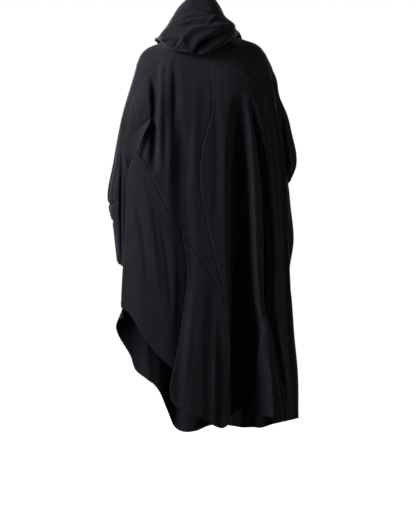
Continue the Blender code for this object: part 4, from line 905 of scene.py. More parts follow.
# Folds and creases, each laid along its own spine
# A row gives the side that the fold is seen from, its width in mm to the left and right of its
# spine, how deep the cloth lies there, and the spine. A point of a spine is two places and how
# many mm the cloth stands out there. From the back the places are a column and a row of the
# photograph's dots, and from the other sides they are metres across and up.
MM = 0.001
HOOD_DEPTH = -0.130
BACK_DEPTH = -0.165
SLEEVE_DEPTH = -0.080
HOOD_STROKES = (
    # rolled lip over the pocket
    ("back", 17, 3.2, HOOD_DEPTH, (
        (193.5, 52, 0), (195.4, 48.2, 11), (198.2, 42.2, 12), (205.5, 38.2, 11), (214, 33.6, 9),
        (221.2, 30, 7), (229, 26.4, 5), (234, 24.5, 0))),
    # deep pocket under the lip
    ("back", 6.5, 11, HOOD_DEPTH, (
        (195.0, 55, 0), (196.8, 51, -29), (200, 46.2, -33), (206.6, 41.8, -28), (214.8, 37.2, -19),
        (221.8, 33, -13), (229.6, 29, -7), (236, 26.5, 0))),
    # roll below the pocket
    ("back", 7, 10, HOOD_DEPTH, (
        (196, 55.5, 0), (199, 53, 10), (207, 49.4, 14), (214.3, 44.4, 14), (221.4, 40, 12),
        (228.6, 35.6, 9), (235, 32.8, 6), (241, 33, 0))),
    # lump on the left, falling away to the lip
    ("back", 6, 16, HOOD_DEPTH, (
        (181, 50, 0), (182, 44, 5), (185, 37, 8), (192, 31.5, 8), (203, 28, 7), (214, 26, 5),
        (224, 23, 0))),
    # small crease inside the pocket
    ("back", 2.5, 3, HOOD_DEPTH, ((198.5, 47.6, 0), (200.4, 45.9, 5), (203.2, 44.2, 5), (206, 43, 0))),
    # long light line over the lip
    ("back", 3.5, 6, HOOD_DEPTH, (
        (182, 32.5, 0), (186, 30.6, 2.5), (194.3, 29, 3), (205, 28.9, 2.5), (214.3, 28.4, 3),
        (222.9, 26.2, 3.5), (230, 23.5, 0))),
    # shadow under that line
    ("back", 5, 4, HOOD_DEPTH, (
        (203, 30.5, 0), (208, 30.6, -2.5), (216, 29.9, -3), (224, 27.2, -2), (229, 25.6, 0))),
    # ridge from the left side
    ("back", 3.2, 7, HOOD_DEPTH, (
        (164, 29.8, 0), (169, 28, 4.5), (175, 25.9, 6), (181, 23.8, 6.5), (187, 21.9, 6),
        (193, 20.7, 5), (200, 20.8, 3.5), (207, 22.2, 0))),
    # shadow over that ridge
    ("back", 6, 2.8, HOOD_DEPTH, (
        (166, 27.4, 0), (172, 25.4, -4), (178, 23, -5), (184, 20, -6), (190, 17.7, -6),
        (197, 16.8, -5), (205, 16.8, -3.5), (211, 17.5, 0))),
    # short crease under the ridge
    ("back", 3, 3, HOOD_DEPTH, ((181, 27.4, 0), (185, 26, -4), (190, 25, -4.5), (195, 24.4, 0))),
    # upper right fold
    ("back", 4.5, 3, HOOD_DEPTH, (
        (196, 10, 0), (201, 11.1, -4.5), (208, 12.7, -5.5), (215, 13.8, -5), (222, 15.6, 0))),
    # swelling under the upper fold
    ("back", 4, 6, HOOD_DEPTH, (
        (198, 14, 0), (204, 14.4, 3.5), (212, 15.4, 4), (219, 17.5, 3), (224, 20, 0))),
    # slanting ridge on the right
    ("back", 4, 4.5, HOOD_DEPTH, ((206, 24.5, 0), (209.3, 21.6, 4.5), (213.4, 17.6, 5), (216, 14.5, 0))),
    # crease beside it
    ("back", 3, 4.5, HOOD_DEPTH, (
        (210.5, 26.5, 0), (213, 22.6, -4), (217.5, 18.2, -4.5), (220.5, 15.5, 0))),
    # short crease low on the right
    ("back", 3, 2.6, HOOD_DEPTH, ((204, 27.9, 0), (207.5, 27.1, -3.5), (212, 26.2, -3.5), (216, 24.6, 0))),
    # small arc
    ("back", 2.6, 2.6, HOOD_DEPTH, ((181.5, 33, 0), (183.6, 31.5, -3), (186.6, 30.2, -3), (189, 30, 0))),
    # slanting crease low on the left
    ("back", 3.4, 3, HOOD_DEPTH, ((183, 39.5, 0), (181, 42.2, 4.5), (178, 45.8, 4.5), (175, 49.4, 0))),
    # crease left of it
    ("back", 3, 3.6, HOOD_DEPTH, ((179.5, 39, 0), (177.6, 42, -4.5), (175.6, 45.4, -4), (173.5, 48, 0))),
    # fold down from the left ridge
    ("back", 7, 5, HOOD_DEPTH, (
        (184, 32, 0), (182.4, 36, 3), (183.6, 41, 3.5), (187, 46, 3), (190, 50, 0))),
    # left lobe hollow
    ("back", 5, 5, HOOD_DEPTH, ((159, 42.5, 0), (163, 41.2, -4.5), (168, 41.4, -4), (172, 43.5, 0))),
    # left lobe roll
    ("back", 4, 6, HOOD_DEPTH, ((158, 39.4, 0), (163, 38, 3.5), (168, 37.6, 3.5), (174, 38.6, 0))),
    # hollow over the left roll
    ("back", 4, 3.4, HOOD_DEPTH, ((164.5, 34.6, 0), (167.5, 34, -3), (171.5, 33.6, -3), (176, 34.6, 0))),
    # bottom roll
    ("back", 5, 5, HOOD_DEPTH, ((168, 49.5, 0), (175, 51.3, 3), (183, 52, 3.5), (191, 52.4, 0))),
    # upper left slack
    ("back", 6, 5, HOOD_DEPTH, ((176, 18.5, 0), (181, 15.2, -3.5), (187, 12.4, -4), (193, 9.5, 0))),
    # top hollow
    ("back", 7, 7, HOOD_DEPTH, ((190, 3, 0), (196, 5, -4), (204, 7.5, -4), (211, 9, 0))),
    # right side folds
    ("right", 5, 8, None, (
        (-0.085, 0.118, 0), (-0.05, 0.092, -5), (-0.01, 0.066, -6), (0.03, 0.046, -4),
        (0.06, 0.03, 0))),
    ("right", 7, 5, None, (
        (-0.07, 0.088, 0), (-0.03, 0.066, 5), (0.01, 0.046, 6), (0.045, 0.026, 4), (0.07, 0.012, 0))),
    ("right", 4, 6, None, ((-0.03, 0.052, 0), (0.005, 0.036, -5), (0.04, 0.018, -5), (0.075, -0.002, 0))),
    # left side folds
    ("left", 8, 5, None, (
        (-0.08, 0.11, 0), (-0.045, 0.08, -6), (-0.005, 0.06, -6), (0.03, 0.04, -4), (0.06, 0.028, 0))),
    ("left", 5, 8, None, (
        (-0.07, 0.082, 0), (-0.035, 0.058, 5), (0.0, 0.04, 6), (0.04, 0.018, 5), (0.075, 0.004, 0))),
    ("left", 6, 4, None, ((-0.06, 0.05, 0), (-0.02, 0.03, -5), (0.02, 0.014, -5), (0.06, -0.01, 0))),
    # front folds
    ("front", 5, 8, None, (
        (-0.1, 0.012, 0), (-0.06, -0.01, -5), (-0.01, -0.03, -7), (0.05, -0.024, -6),
        (0.09, -0.002, 0))),
    ("front", 8, 5, None, (
        (-0.095, -0.006, 0), (-0.05, -0.028, 5), (0.0, -0.046, 7), (0.055, -0.04, 5),
        (0.1, -0.016, 0))),
    ("front", 4, 5, None, (
        (-0.06, -0.044, 0), (-0.025, -0.058, -4), (0.02, -0.064, -5), (0.06, -0.056, 0))),
)

BODY_STROKES = (
    # dark hollow beside the left armhole
    ("back", 6.5, 12, -0.14, (
        (151.5, 70, 0), (153.4, 84, -8), (154.4, 104, -16), (154.6, 122, -16), (154.4, 140, -12),
        (154, 158, -6), (154, 176, 0))),
    # ridge beside it
    ("back", 6, 8, -0.15, ((160, 64, 0), (159.6, 80, 4), (159.4, 110, 5), (160, 140, 4.5), (161, 165, 0))),
    # hollow of the left blade
    ("back", 7, 7, -0.155, (
        (165.5, 62, 0), (164.8, 84, -4.5), (164.4, 118, -5), (165, 150, -4), (166, 180, 0))),
    # long soft ridge of the left blade
    ("back", 8, 13, -0.16, (
        (170, 52, 0), (170.4, 72, 6), (170.6, 110, 7), (170.2, 150, 6), (169.5, 185, 3),
        (169, 215, 0))),
    # soft hollow left of the middle
    ("back", 11, 14, BACK_DEPTH, (
        (183, 96, 0), (181, 130, -3), (179.5, 168, -4), (179, 205, -2.5), (180, 240, 0))),
    # faint ridge in the middle
    ("back", 12, 12, BACK_DEPTH, (
        (196, 66, 0), (196.5, 100, 2), (195, 140, 3), (192.5, 180, 3), (190.5, 215, 0))),
    # soft hollow right of the middle
    ("back", 13, 13, BACK_DEPTH, (
        (214, 74, 0), (216, 110, -2.5), (217, 150, -3.5), (216.5, 200, -3), (215, 240, 0))),
    # drag line from the neck to the right shoulder
    ("back", 5, 8, -0.12, ((226, 58, 0), (236, 62, -2.5), (247, 70, -3.5), (258, 82, -2.5), (266, 94, 0))),
    # drag line under it
    ("back", 7, 6, -0.12, ((230, 66, 0), (240, 71, 2.2), (250, 80, 3), (259, 92, 2.5), (266, 106, 0))),
    # drag line on the left shoulder
    ("back", 6, 7, -0.11, ((170, 58, 0), (160, 62, -2.5), (150, 70, -3.5), (142, 82, -2.5), (138, 94, 0))),
    # raised line below the left armhole
    ("back", 5, 11, -0.135, (
        (151, 112, 0), (147, 127, 4), (141, 139, 4.5), (136, 148.5, 3), (132, 157, 0))),
    # hollow falling away from it
    ("back", 12, 6, -0.135, (
        (155, 108, 0), (151.5, 124, -7), (147, 138, -9), (143.5, 150, -8), (141, 162, 0))),
    # rolled edge of the diagonal
    ("back", 6, 8, -0.14, ((134, 148, 0), (139, 155, 2.5), (146, 165, 3), (154, 177, 2.5), (163, 190, 0))),
    # small crease by the diagonal
    ("back", 3, 3.5, -0.14, ((143.5, 179, 0), (147, 181.6, -3.5), (150.5, 182.2, -3.5), (154, 181, 0))),
    # crease under the armhole
    ("back", 3.5, 3.5, -0.13, ((131.5, 158, 0), (135, 159.6, -4), (139, 159.4, -3.5), (143, 158, 0))),
    # slack on the lower left back
    ("back", 12, 9, -0.16, ((133, 196, 0), (138, 214, -4), (143, 240, -5), (146, 268, -4), (150, 296, 0))),
    # ridge beside it
    ("back", 9, 12, -0.16, ((141, 186, 0), (148, 206, 3.5), (153, 236, 4.5), (157, 268, 4), (161, 300, 0))),
    # second slack on the lower left back
    ("back", 10, 8, -0.165, ((160, 214, 0), (164, 240, -3), (168, 272, -4), (171, 304, -3), (173, 330, 0))),
    # hollow left of the free edge
    ("back", 10, 6, -0.17, (
        (177, 236, 0), (178, 262, -3), (178.4, 290, -4), (177, 318, -3), (175, 345, 0))),
    # ridge of the middle panel
    ("back", 9, 11, -0.175, (
        (191, 262, 0), (193, 292, 3.5), (191, 325, 5), (188, 360, 5), (186, 392, 3), (184, 412, 0))),
    # hollow of the middle panel
    ("back", 10, 8, -0.18, (
        (196, 300, 0), (194, 330, -2), (190, 362, -2.5), (187, 392, -2.5), (186, 416, 0))),
    # ridge before the deep fold
    ("back", 30, 6, -0.185, (
        (215, 428, 10), (215.5, 402, 14), (216, 375, 14), (216, 345, 8), (216, 312, 0))),
    # sharp fold between the two right folds
    ("back", 5.5, 3.5, -0.12, (
        (258, 128, 0), (262, 150, -5), (267.5, 196, -9), (271, 238, -11), (272, 275, -11),
        (271.4, 302, -10), (274, 332, -10), (278.5, 358, -9), (284, 388, -8), (288, 414, -4),
        (289, 424, 0))),
    # rounded edge left of that fold
    ("back", 10, 5, -0.13, (
        (254, 132, 0), (258, 156, 3.5), (262.8, 198, 6), (266.4, 240, 8), (267.2, 280, 8),
        (266.4, 302, 5), (267, 318, 0))),
    # light edge right of that fold
    ("back", 3.5, 6, -0.11, (
        (263, 140, 0), (269, 176, 2.5), (274, 222, 3.5), (275.6, 272, 4), (275.4, 304, 4),
        (278, 334, 4.5), (282.5, 360, 4.5), (288, 390, 4), (292, 416, 0))),
    # gore, falling away from its left edge
    ("back", 8, 26, -0.14, (
        (257, 428, 15), (257.4, 408, 20), (259.4, 380, 21), (262.6, 350, 16), (266, 324, 8),
        (269.5, 302, 0))),
    # sharp edge of the batwing fold
    ("back", 2.6, 8, -0.06, (
        (263, 62, 0), (267.5, 80, 4), (272.5, 100, 5), (277, 124, 6), (281, 150, 6), (284.5, 180, 6),
        (287, 210, 5), (288.5, 240, 0))),
    # dark gap right of it
    ("back", 8, 2.6, -0.05, (
        (265.5, 62, 0), (270, 80, -5), (275, 100, -7), (279.6, 124, -8), (283.6, 150, -8),
        (287, 180, -7), (289.5, 210, -5), (291, 240, 0))),
    # soft fold down the right edge
    ("back", 6, 8, -0.1, (
        (281, 196, 0), (284, 230, -3), (285.5, 270, -4), (287, 310, -4), (289.5, 350, -3),
        (291, 385, 0))),
    # fine fold in the right panel
    ("back", 5, 6, -0.11, (
        (270, 112, 0), (273.5, 140, 2.5), (276.8, 176, 3), (279, 220, 2.5), (280, 256, 0))),
    # second fine fold
    ("back", 4, 5, -0.12, (
        (266.5, 96, 0), (268.6, 120, -3), (271.8, 150, -3.5), (274.6, 186, -2.5), (277, 220, 0))),
    # left side folds
    ("left", 14, 10, None, (
        (-0.06, -0.56, 0), (-0.055, -0.68, -5), (-0.045, -0.82, -7), (-0.04, -0.93, 0))),
    ("left", 10, 14, None, (
        (0.0, -0.52, 0), (0.012, -0.66, 6), (0.02, -0.82, 8), (0.03, -1.0, 6), (0.04, -1.16, 0))),
    ("left", 13, 9, None, (
        (0.06, -0.5, 0), (0.075, -0.66, -6), (0.085, -0.86, -8), (0.1, -1.06, -6), (0.11, -1.2, 0))),
    # right side folds
    ("right", 12, 9, None, (
        (0.02, -0.56, 0), (0.03, -0.7, -6), (0.03, -0.88, -8), (0.045, -1.08, -8), (0.05, -1.3, -5),
        (0.05, -1.36, 0))),
    ("right", 9, 14, None, (
        (0.07, -0.56, 0), (0.08, -0.72, 5), (0.085, -0.92, 8), (0.1, -1.12, 8), (0.11, -1.32, 5),
        (0.11, -1.38, 0))),
    ("right", 12, 8, None, (
        (0.13, -0.6, 0), (0.14, -0.76, -6), (0.15, -0.98, -8), (0.165, -1.2, -7), (0.17, -1.36, 0))),
    # front folds from the neck
    ("front", 10, 7, None, ((-0.07, -0.09, 0), (-0.085, -0.2, -5), (-0.09, -0.34, -6), (-0.085, -0.48, 0))),
    ("front", 8, 12, None, (
        (-0.03, -0.1, 0), (-0.04, -0.22, 5), (-0.045, -0.38, 6), (-0.05, -0.56, 4), (-0.05, -0.7, 0))),
    ("front", 9, 12, None, ((0.06, -0.1, 0), (0.072, -0.22, -5), (0.08, -0.38, -7), (0.075, -0.54, 0))),
    ("front", 12, 8, None, ((0.11, -0.11, 0), (0.13, -0.22, 5), (0.14, -0.36, 6), (0.13, -0.5, 0))),
    # front folds in the skirt
    ("front", 16, 11, None, (
        (-0.18, -0.56, 0), (-0.19, -0.74, -7), (-0.19, -0.96, -10), (-0.195, -1.16, 0))),
    ("front", 11, 16, None, (
        (-0.12, -0.6, 0), (-0.125, -0.8, 8), (-0.12, -1.02, 12), (-0.12, -1.22, 10),
        (-0.115, -1.34, 0))),
    ("front", 13, 10, None, (
        (-0.01, -0.66, 0), (-0.004, -0.86, -8), (0.004, -1.08, -12), (0.01, -1.28, -10),
        (0.01, -1.36, 0))),
    ("front", 12, 15, None, (
        (0.06, -0.62, 0), (0.064, -0.84, 7), (0.07, -1.06, 11), (0.075, -1.3, 8), (0.075, -1.38, 0))),
    ("front", 12, 9, None, (
        (0.15, -0.58, 0), (0.155, -0.78, -8), (0.16, -1.0, -11), (0.165, -1.24, -9),
        (0.165, -1.36, 0))),
    ("front", 9, 13, None, (
        (0.22, -0.6, 0), (0.225, -0.8, 6), (0.23, -1.02, 9), (0.24, -1.26, 7), (0.24, -1.36, 0))),
)

LEFT_SLEEVE_STROKES = (
    # edge of the outer layer
    ("back", 14, 2.5, SLEEVE_DEPTH, (
        (121.5, 142, 0), (120.2, 156, -9), (119.6, 180, -12), (119.4, 210, -12), (119.6, 240, -10),
        (119.8, 262, -6), (120, 272, 0))),
    # lit strip beside it
    ("back", 3, 9, SLEEVE_DEPTH, (
        (123, 146, 0), (122.8, 166, 3), (122.6, 200, 4), (122.8, 236, 3.5), (123, 262, 0))),
    # elbow crease
    ("back", 5, 5, SLEEVE_DEPTH, ((107, 190, 0), (110.5, 194.5, -4), (114.5, 196.5, -5), (118.5, 195, 0))),
    # second elbow crease
    ("back", 4, 6, SLEEVE_DEPTH, ((108.5, 206, 0), (111.5, 203.6, -4), (115, 202.6, -4.5), (119, 204, 0))),
    # fold down the upper sleeve
    ("back", 7, 6, SLEEVE_DEPTH, ((131, 92, 0), (128.6, 108, -3.5), (126.4, 126, -4.5), (124.6, 142, 0))),
    # ridge of the upper sleeve
    ("back", 6, 7, SLEEVE_DEPTH, ((126.5, 94, 0), (124, 110, 3), (122, 128, 4), (120, 146, 0))),
    # slanting crease by the armhole
    ("back", 4, 5, -0.1, ((118, 140, 0), (121.5, 150, 3.5), (125.2, 160, 4), (128, 169, 0))),
    # low slack
    ("back", 6, 6, SLEEVE_DEPTH, ((113, 226, 0), (114.2, 238, -3.5), (115.4, 248, -3.5), (116.5, 258, 0))),
    # left side folds
    ("left", 8, 6, None, ((-0.05, -0.26, 0), (-0.05, -0.36, -5), (-0.045, -0.48, -6), (-0.05, -0.56, 0))),
    ("left", 6, 8, None, ((0.0, -0.24, 0), (0.004, -0.36, 5), (0.0, -0.5, 6), (0.004, -0.62, 0))),
    ("left", 6, 5, None, ((-0.07, -0.54, 0), (-0.03, -0.56, -6), (0.02, -0.55, -7), (0.07, -0.53, 0))),
    ("left", 5, 6, None, ((-0.07, -0.6, 0), (-0.03, -0.62, -5), (0.02, -0.615, -6), (0.07, -0.6, 0))),
    ("left", 9, 6, None, ((0.05, -0.58, 0), (0.05, -0.68, -6), (0.045, -0.78, -5), (0.045, -0.82, 0))),
    # front folds
    ("front", 6, 6, None, ((-0.31, -0.52, 0), (-0.29, -0.54, -5), (-0.26, -0.55, -6), (-0.235, -0.56, 0))),
    ("front", 6, 8, None, ((-0.29, -0.58, 0), (-0.285, -0.68, 5), (-0.28, -0.78, 0))),
)

RIGHT_SLEEVE_STROKES = (
    # fold edge down the sleeve
    ("back", 5, 6, 0.0, ((283.6, 114, 0), (285.4, 130, 5), (287.8, 152, 7), (290, 178, 6), (291, 200, 0))),
    # hollow beside it
    ("back", 8, 3.5, 0.0, (
        (280.4, 112, 0), (282.2, 130, -6), (284.6, 152, -9), (287, 180, -8), (288.4, 202, 0))),
    # right side folds
    ("right", 6, 8, None, ((0.0, -0.24, 0), (0.035, -0.3, -6), (0.075, -0.36, -7), (0.12, -0.41, 0))),
    ("right", 7, 6, None, ((0.03, -0.24, 0), (0.07, -0.3, 5), (0.115, -0.36, 6), (0.16, -0.41, 0))),
    ("right", 5, 6, None, ((0.08, -0.49, 0), (0.105, -0.44, -7), (0.13, -0.39, -7), (0.155, -0.35, 0))),
    ("right", 6, 5, None, ((0.12, -0.5, 0), (0.145, -0.46, -6), (0.17, -0.42, -6), (0.19, -0.385, 0))),
    ("right", 6, 8, None, ((0.19, -0.5, 0), (0.22, -0.47, 5), (0.26, -0.46, 5), (0.3, -0.47, 0))),
    ("right", 5, 5, None, ((0.2, -0.44, 0), (0.235, -0.43, -4), (0.27, -0.435, -4), (0.3, -0.45, 0))),
)
# Large pushes: centre, radii and push. All the cloth near a centre moves as one.
PUSHES = (
    ((0.236, 0.005, -0.118), (0.050, 0.085, 0.070), (0.022, 0.0, 0.003)),
    ((0.318, 0.050, -0.300), (0.050, 0.090, 0.060), (-0.013, 0.0, 0.0)),
    ((0.088, -0.075, 0.062), (0.030, 0.050, 0.020), (0.012, 0.0, 0.0)),
    ((0.112, -0.060, 0.046), (0.020, 0.050, 0.010), (-0.008, 0.0, -0.003)),
)
VIEWS = {"back": (0, 1, -1), "front": (0, 1, 1), "left": (1, 0, -1), "right": (1, 0, 1)}
SPINE_STEPS = 36
REACH = 2.6         # widths beyond which a fold no longer moves the cloth
LEAST_FACING = 0.05     # how far cloth must face the viewer before a fold moves it
FACING_RANGE = 0.35     # and over what more of it the fold comes to its full height


def spine_table(view, depth, spine):
    """A spine in metres: places across and up, and how far the cloth stands out."""
    table = np.array(spine, dtype=float)
    table[:, 2] *= MM
    if view == "back":
        dot = (depth - EYE[1]) / FOCAL
        table[:, 0] = EYE[0] + (table[:, 0] - EYE_DOT[0]) * dot
        table[:, 1] = EYE[2] + (EYE_DOT[1] - table[:, 1]) * dot
    return table


def stroke_lift(points, normals, strokes):
    """How far the folds lift the cloth, measured along its normals."""
    lift = np.zeros(len(points))
    for view, left_width, right_width, depth, spine in strokes:
        across, facing, sign = VIEWS[view]
        table = spine_table(view, depth, spine)
        lengths = np.linalg.norm(np.diff(table[:, :2], axis=0), axis=1)
        knots = np.concatenate(([0.0], np.cumsum(lengths)))
        table = track(knots, table, np.linspace(0, knots[-1], SPINE_STEPS))
        reach = REACH * max(left_width, right_width) * MM
        spots = points[:, [across, 2]]
        low = table[:, :2].min(axis=0) - reach
        high = table[:, :2].max(axis=0) + reach
        facing_it = normals[:, facing] * sign
        near = np.all((spots > low) & (spots < high), axis=1) & (facing_it > LEAST_FACING)
        near = np.flatnonzero(near)
        if len(near) == 0:
            continue
        spot = spots[near][:, None, :]
        first = table[:-1, :2]
        way = table[1:, :2] - first
        share = np.clip(((spot - first) * way).sum(axis=2) / (way * way).sum(axis=1), 0, 1)
        gap = spot - first - share[:, :, None] * way
        distance = np.linalg.norm(gap, axis=2)
        nearest = distance.argmin(axis=1)
        rows = np.arange(len(near))
        share = share[rows, nearest]
        gap = gap[rows, nearest]
        leftward = way[nearest, 0] * gap[:, 1] - way[nearest, 1] * gap[:, 0] > 0
        # The left of a spine is on the other hand where the view looks along the axis
        if view in ("front", "left"):
            leftward = ~leftward
        width = np.where(leftward, left_width, right_width) * MM
        height = table[nearest, 2] + share * (table[nearest + 1, 2] - table[nearest, 2])
        turned = np.clip((facing_it[near] - LEAST_FACING) / FACING_RANGE, 0, 1)
        lift[near] += height * turned * bell(distance[rows, nearest], width)
    return lift


def pushed(points):
    """Points moved by the large pushes."""
    moved = points.copy()
    for centre, radii, push in PUSHES:
        far = (((points - centre) / radii) ** 2).sum(axis=-1)
        moved += np.exp(-far)[..., None] * np.array(push)
    return moved


def folded(points, normals, strokes):
    """Points lifted by the folds."""
    return points + normals * stroke_lift(points, normals, strokes)[:, None]


def edge_names(node):
    return [name.lstrip("-") for name in OUTLINES[node]]


def panel_relief(node, flat, line):
    """How far seams and hems lift the cloth of one piece."""
    lift = np.zeros(len(flat))
    for edge in edge_names(node):
        outline = flatten(line[edge] + np.array([edge_offset(node, edge), 0.0]))
        gap = line_distance(flat, outline)
        if edge in HEM_LINES:
            height, width = HEM_BULGE
            lift += height * np.clip(HEM_FLAT - gap / width, 0.0, 1.0)
            depth, place, width = HEM_VALLEY
            lift -= depth * bell(gap - place, width)
        else:
            depth, width = SEAM_VALLEY
            lift -= PRESSED.get(edge, 1.0) * depth * bell(gap, width)
            height, place, width = SEAM_RIDGE
            share = RIDGES[node].get(edge, FAINT_RIDGE)
            lift += share * height * bell(gap - place, width)
    return lift


SHARPEST_TURN = 0.45    # least cosine of half a corner's turn that the seam gap follows


def pull_in(points, normals, ring):
    """Points of a closed ring moved into the cloth by half the seam gap."""
    own = points[ring]
    ahead = np.roll(own, -1, axis=0) - own
    behind = own - np.roll(own, 1, axis=0)
    along = unit(unit(ahead) + unit(behind))
    inward = unit(np.cross(normals[ring], along))
    half_turn = np.clip(np.sum(along * unit(ahead), axis=1), SHARPEST_TURN, 1.0)
    moved = points.copy()
    moved[ring] = own + inward * (SEAM_GAP / 2 / half_turn)[:, None]
    return moved


RIM_ROUND = 0.0009      # how far the middle of a cloth edge stands out
SMOOTH_ANGLE = 60       # degrees, above which an edge shows sharp


def add_wall(name, points, normals, triangles, rings, material):
    """One cloth piece: the sheet given its thickness, closed along its free edges."""
    count = len(points)
    outer = points + normals * (CLOTH / 2)
    inner = points - normals * (CLOTH / 2)
    faces = [tuple(face) for face in triangles]
    faces += [tuple(corner + count for corner in reversed(face)) for face in triangles]
    stacks = [outer, inner]
    total = 2 * count
    for ring in rings:
        own = points[ring]
        along = unit(np.roll(own, -1, axis=0) - np.roll(own, 1, axis=0))
        outward = -unit(np.cross(normals[ring], along))
        stacks.append(own + outward * RIM_ROUND)
        for index, first in enumerate(ring):
            after = (index + 1) % len(ring)
            second = ring[after]
            faces.append((first, total + index, total + after, second))
            faces.append((total + index, first + count, second + count, total + after))
        total += len(ring)
    mesh = bpy.data.meshes.new(name)
    mesh.from_pydata(np.vstack(stacks).tolist(), [], faces)
    mesh.validate()
    mesh.update()
    mesh.shade_smooth()
    mesh.set_sharp_from_angle(angle=math.radians(SMOOTH_ANGLE))
    mesh.materials.append(material)
    piece = bpy.data.objects.new(name, mesh)
    bpy.context.scene.collection.objects.link(piece)
    return piece


def add_panel(node, outline, line, material):
    """A body piece with its seams, hems and folds."""
    places, triangles, count = panel_mesh(outline)
    points = body_point(places[:, 0], places[:, 1])
    normals = facet_normals(points, triangles)
    ring = list(range(count))
    normals[ring] = body_normal(places[ring, 0], places[ring, 1])
    lift = panel_relief(node, flatten(places), line)
    lift += stroke_lift(points, normals, BODY_STROKES)
    points = pushed(points + normals * lift[:, None])
    inner_normals = facet_normals(points, triangles)
    inner_normals[ring] = unit(0.5 * normals[ring] + 0.5 * inner_normals[ring])
    points = pull_in(points, inner_normals, ring)
    return add_wall(node + "_cloth", points, inner_normals, triangles, [ring], material)


# Sleeves and hood
def add_tube(node, grid, material):
    """A sleeve or the hood, as a tube whose first row meets the body."""
    along, around, _ = grid.shape
    normals = grid_normals(grid)
    away = unit(grid[1] - grid[0])
    grid = grid.copy()
    grid[0] += away * SEAM_GAP / 2
    first = list(range(around))[::-1]
    last = [(along - 1) * around + column for column in range(around)]
    return add_wall(node + "_cloth", grid.reshape(-1, 3), normals.reshape(-1, 3),
                    grid_triangles(around, along), [first, last], material)


def denser(places, share):
    """A closed run of places with more of them between its own."""
    turns = round((places[-1, 0] - places[0, 0]) / GIRTH)
    closed = np.vstack((places, places[:1] + [turns * GIRTH, 0.0]))
    steps = np.arange(0, len(places) - 1e-6, 1 / share)
    knots = np.arange(len(closed))
    return np.column_stack([np.interp(steps, knots, closed[:, axis]) for axis in range(2)])


ARMHOLE_BLEND = 0.030   # length of sleeve over which its own folds begin


def sleeve_grid(armhole, sections, strokes, mirrored):
    """A sleeve's sheet from its armhole through its sections to the open cuff."""
    start = body_point(armhole[:, 0], armhole[:, 1])
    start = folded(start, body_normal(armhole[:, 0], armhole[:, 1]), BODY_STROKES)
    table = np.array(sections)
    lengths = np.linalg.norm(np.roll(start, -1, axis=0) - start, axis=1)
    turn = 2 * math.pi * np.concatenate(([0.0], np.cumsum(lengths)[:-1])) / lengths.sum()
    cosine, sine = rounded(turn, SLEEVE_ROUNDNESS)
    rings = [start]
    for row in table:
        rings.append(row[:3] + cosine[:, None] * row[3:6] + sine[:, None] * row[6:9])
    rings = np.array(rings)
    middles = rings.mean(axis=1)
    knots = np.concatenate(([0.0], np.cumsum(np.linalg.norm(np.diff(middles, axis=0), axis=1))))
    way = np.linspace(0, knots[-1], ALONG_SLEEVE)
    grid = track(knots, rings, way)
    if mirrored:
        grid = grid[:, ::-1]
    normals = grid_normals(grid)
    begun = np.clip(way / ARMHOLE_BLEND, 0, 1)[:, None]
    lift = stroke_lift(grid.reshape(-1, 3), normals.reshape(-1, 3), strokes).reshape(grid.shape[:2])
    return pushed(grid + normals * (lift * begun)[:, :, None])


# Sewing thread
STITCH_STEP = 0.0075
STITCH_LENGTH = 0.0050
STITCH_RADIUS = 0.00045
STITCH_SIDES = 4
SEAM_STITCH = 0.0068    # distance of the stitched line from its seam
HEM_STITCH = 0.0205     # distance of the stitched line from a hem
STITCH_CLEAR = 0.0022   # how far a start point stands off the cloth before it is laid on it
CORNER_SHARE = 0.8      # share of that distance that a stitched line keeps from other edges
FEWEST_POINTS = 4       # in a stitched line
# And from the open edge
EDGE_ROWS = {"sleeve_left": 0.022, "sleeve_right": 0.022, "hood": 0.018}
BODY_EDGE_ROW = 0.0065  # distance of the stitched line on a sleeve or the hood from the body


def inset_line(edge, outline, distance):
    """A line at a distance beside an edge, on the piece's own side, in the flattened body."""
    own = flatten(edge)
    border = flatten(outline)
    ahead = unit(np.gradient(own, axis=0))
    side = np.column_stack((-ahead[:, 1], ahead[:, 0]))
    middle = len(own) // 2
    if not inside(own[middle:middle + 1] + side[middle] * distance, border)[0]:
        side = -side
    moved = own + side * distance
    kept = inside(moved, border)
    kept[kept] = distance_to(moved[kept], border) > CORNER_SHARE * distance
    return unflatten(moved[kept])


def panel_rows(node, outline, line, piece):
    """The stitched lines of one panel, laid over its folds."""
    tree = surface_tree(piece)
    rows = []
    for edge in edge_names(node):
        hem = edge in HEM_LINES
        if not hem and edge not in RIDGES[node]:
            continue
        own = line[edge] + np.array([edge_offset(node, edge), 0.0])
        places = inset_line(own, outline, HEM_STITCH if hem else SEAM_STITCH)
        if len(places) < FEWEST_POINTS:
            continue
        points = body_point(places[:, 0], places[:, 1])
        normals = body_normal(places[:, 0], places[:, 1])
        points = pushed(folded(points, normals, BODY_STROKES)) + normals * STITCH_CLEAR
        rows.append((points, tree))
    return rows


def tube_rows(node, grid, piece):
    """The stitched lines round the two ends of a sleeve or the hood."""
    tree = surface_tree(piece)
    normals = grid_normals(grid)
    lengths = np.linalg.norm(np.diff(grid, axis=0), axis=2).mean(axis=1)
    lengths = np.concatenate(([0.0], np.cumsum(lengths)))
    rows = []
    for place in (BODY_EDGE_ROW, lengths[-1] - EDGE_ROWS[node]):
        row = int(np.abs(lengths - place).argmin())
        ring = grid[row] + normals[row] * STITCH_CLEAR
        rows.append((np.vstack((ring, ring[:1])), tree))
    return rows


# Each ring of a stitch: its place along the stitch, its size and its height, as shares
STITCH_SHAPE = ((-0.5, 0.25, -0.6), (-0.25, 1.0, 0.45), (0.25, 1.0, 0.45), (0.5, 0.25, -0.6))


def surface_tree(piece):
    """A search tree of a piece's faces."""
    mesh = piece.data
    corners = [vertex.co.copy() for vertex in mesh.vertices]
    return BVHTree.FromPolygons(corners, [tuple(face.vertices) for face in mesh.polygons])


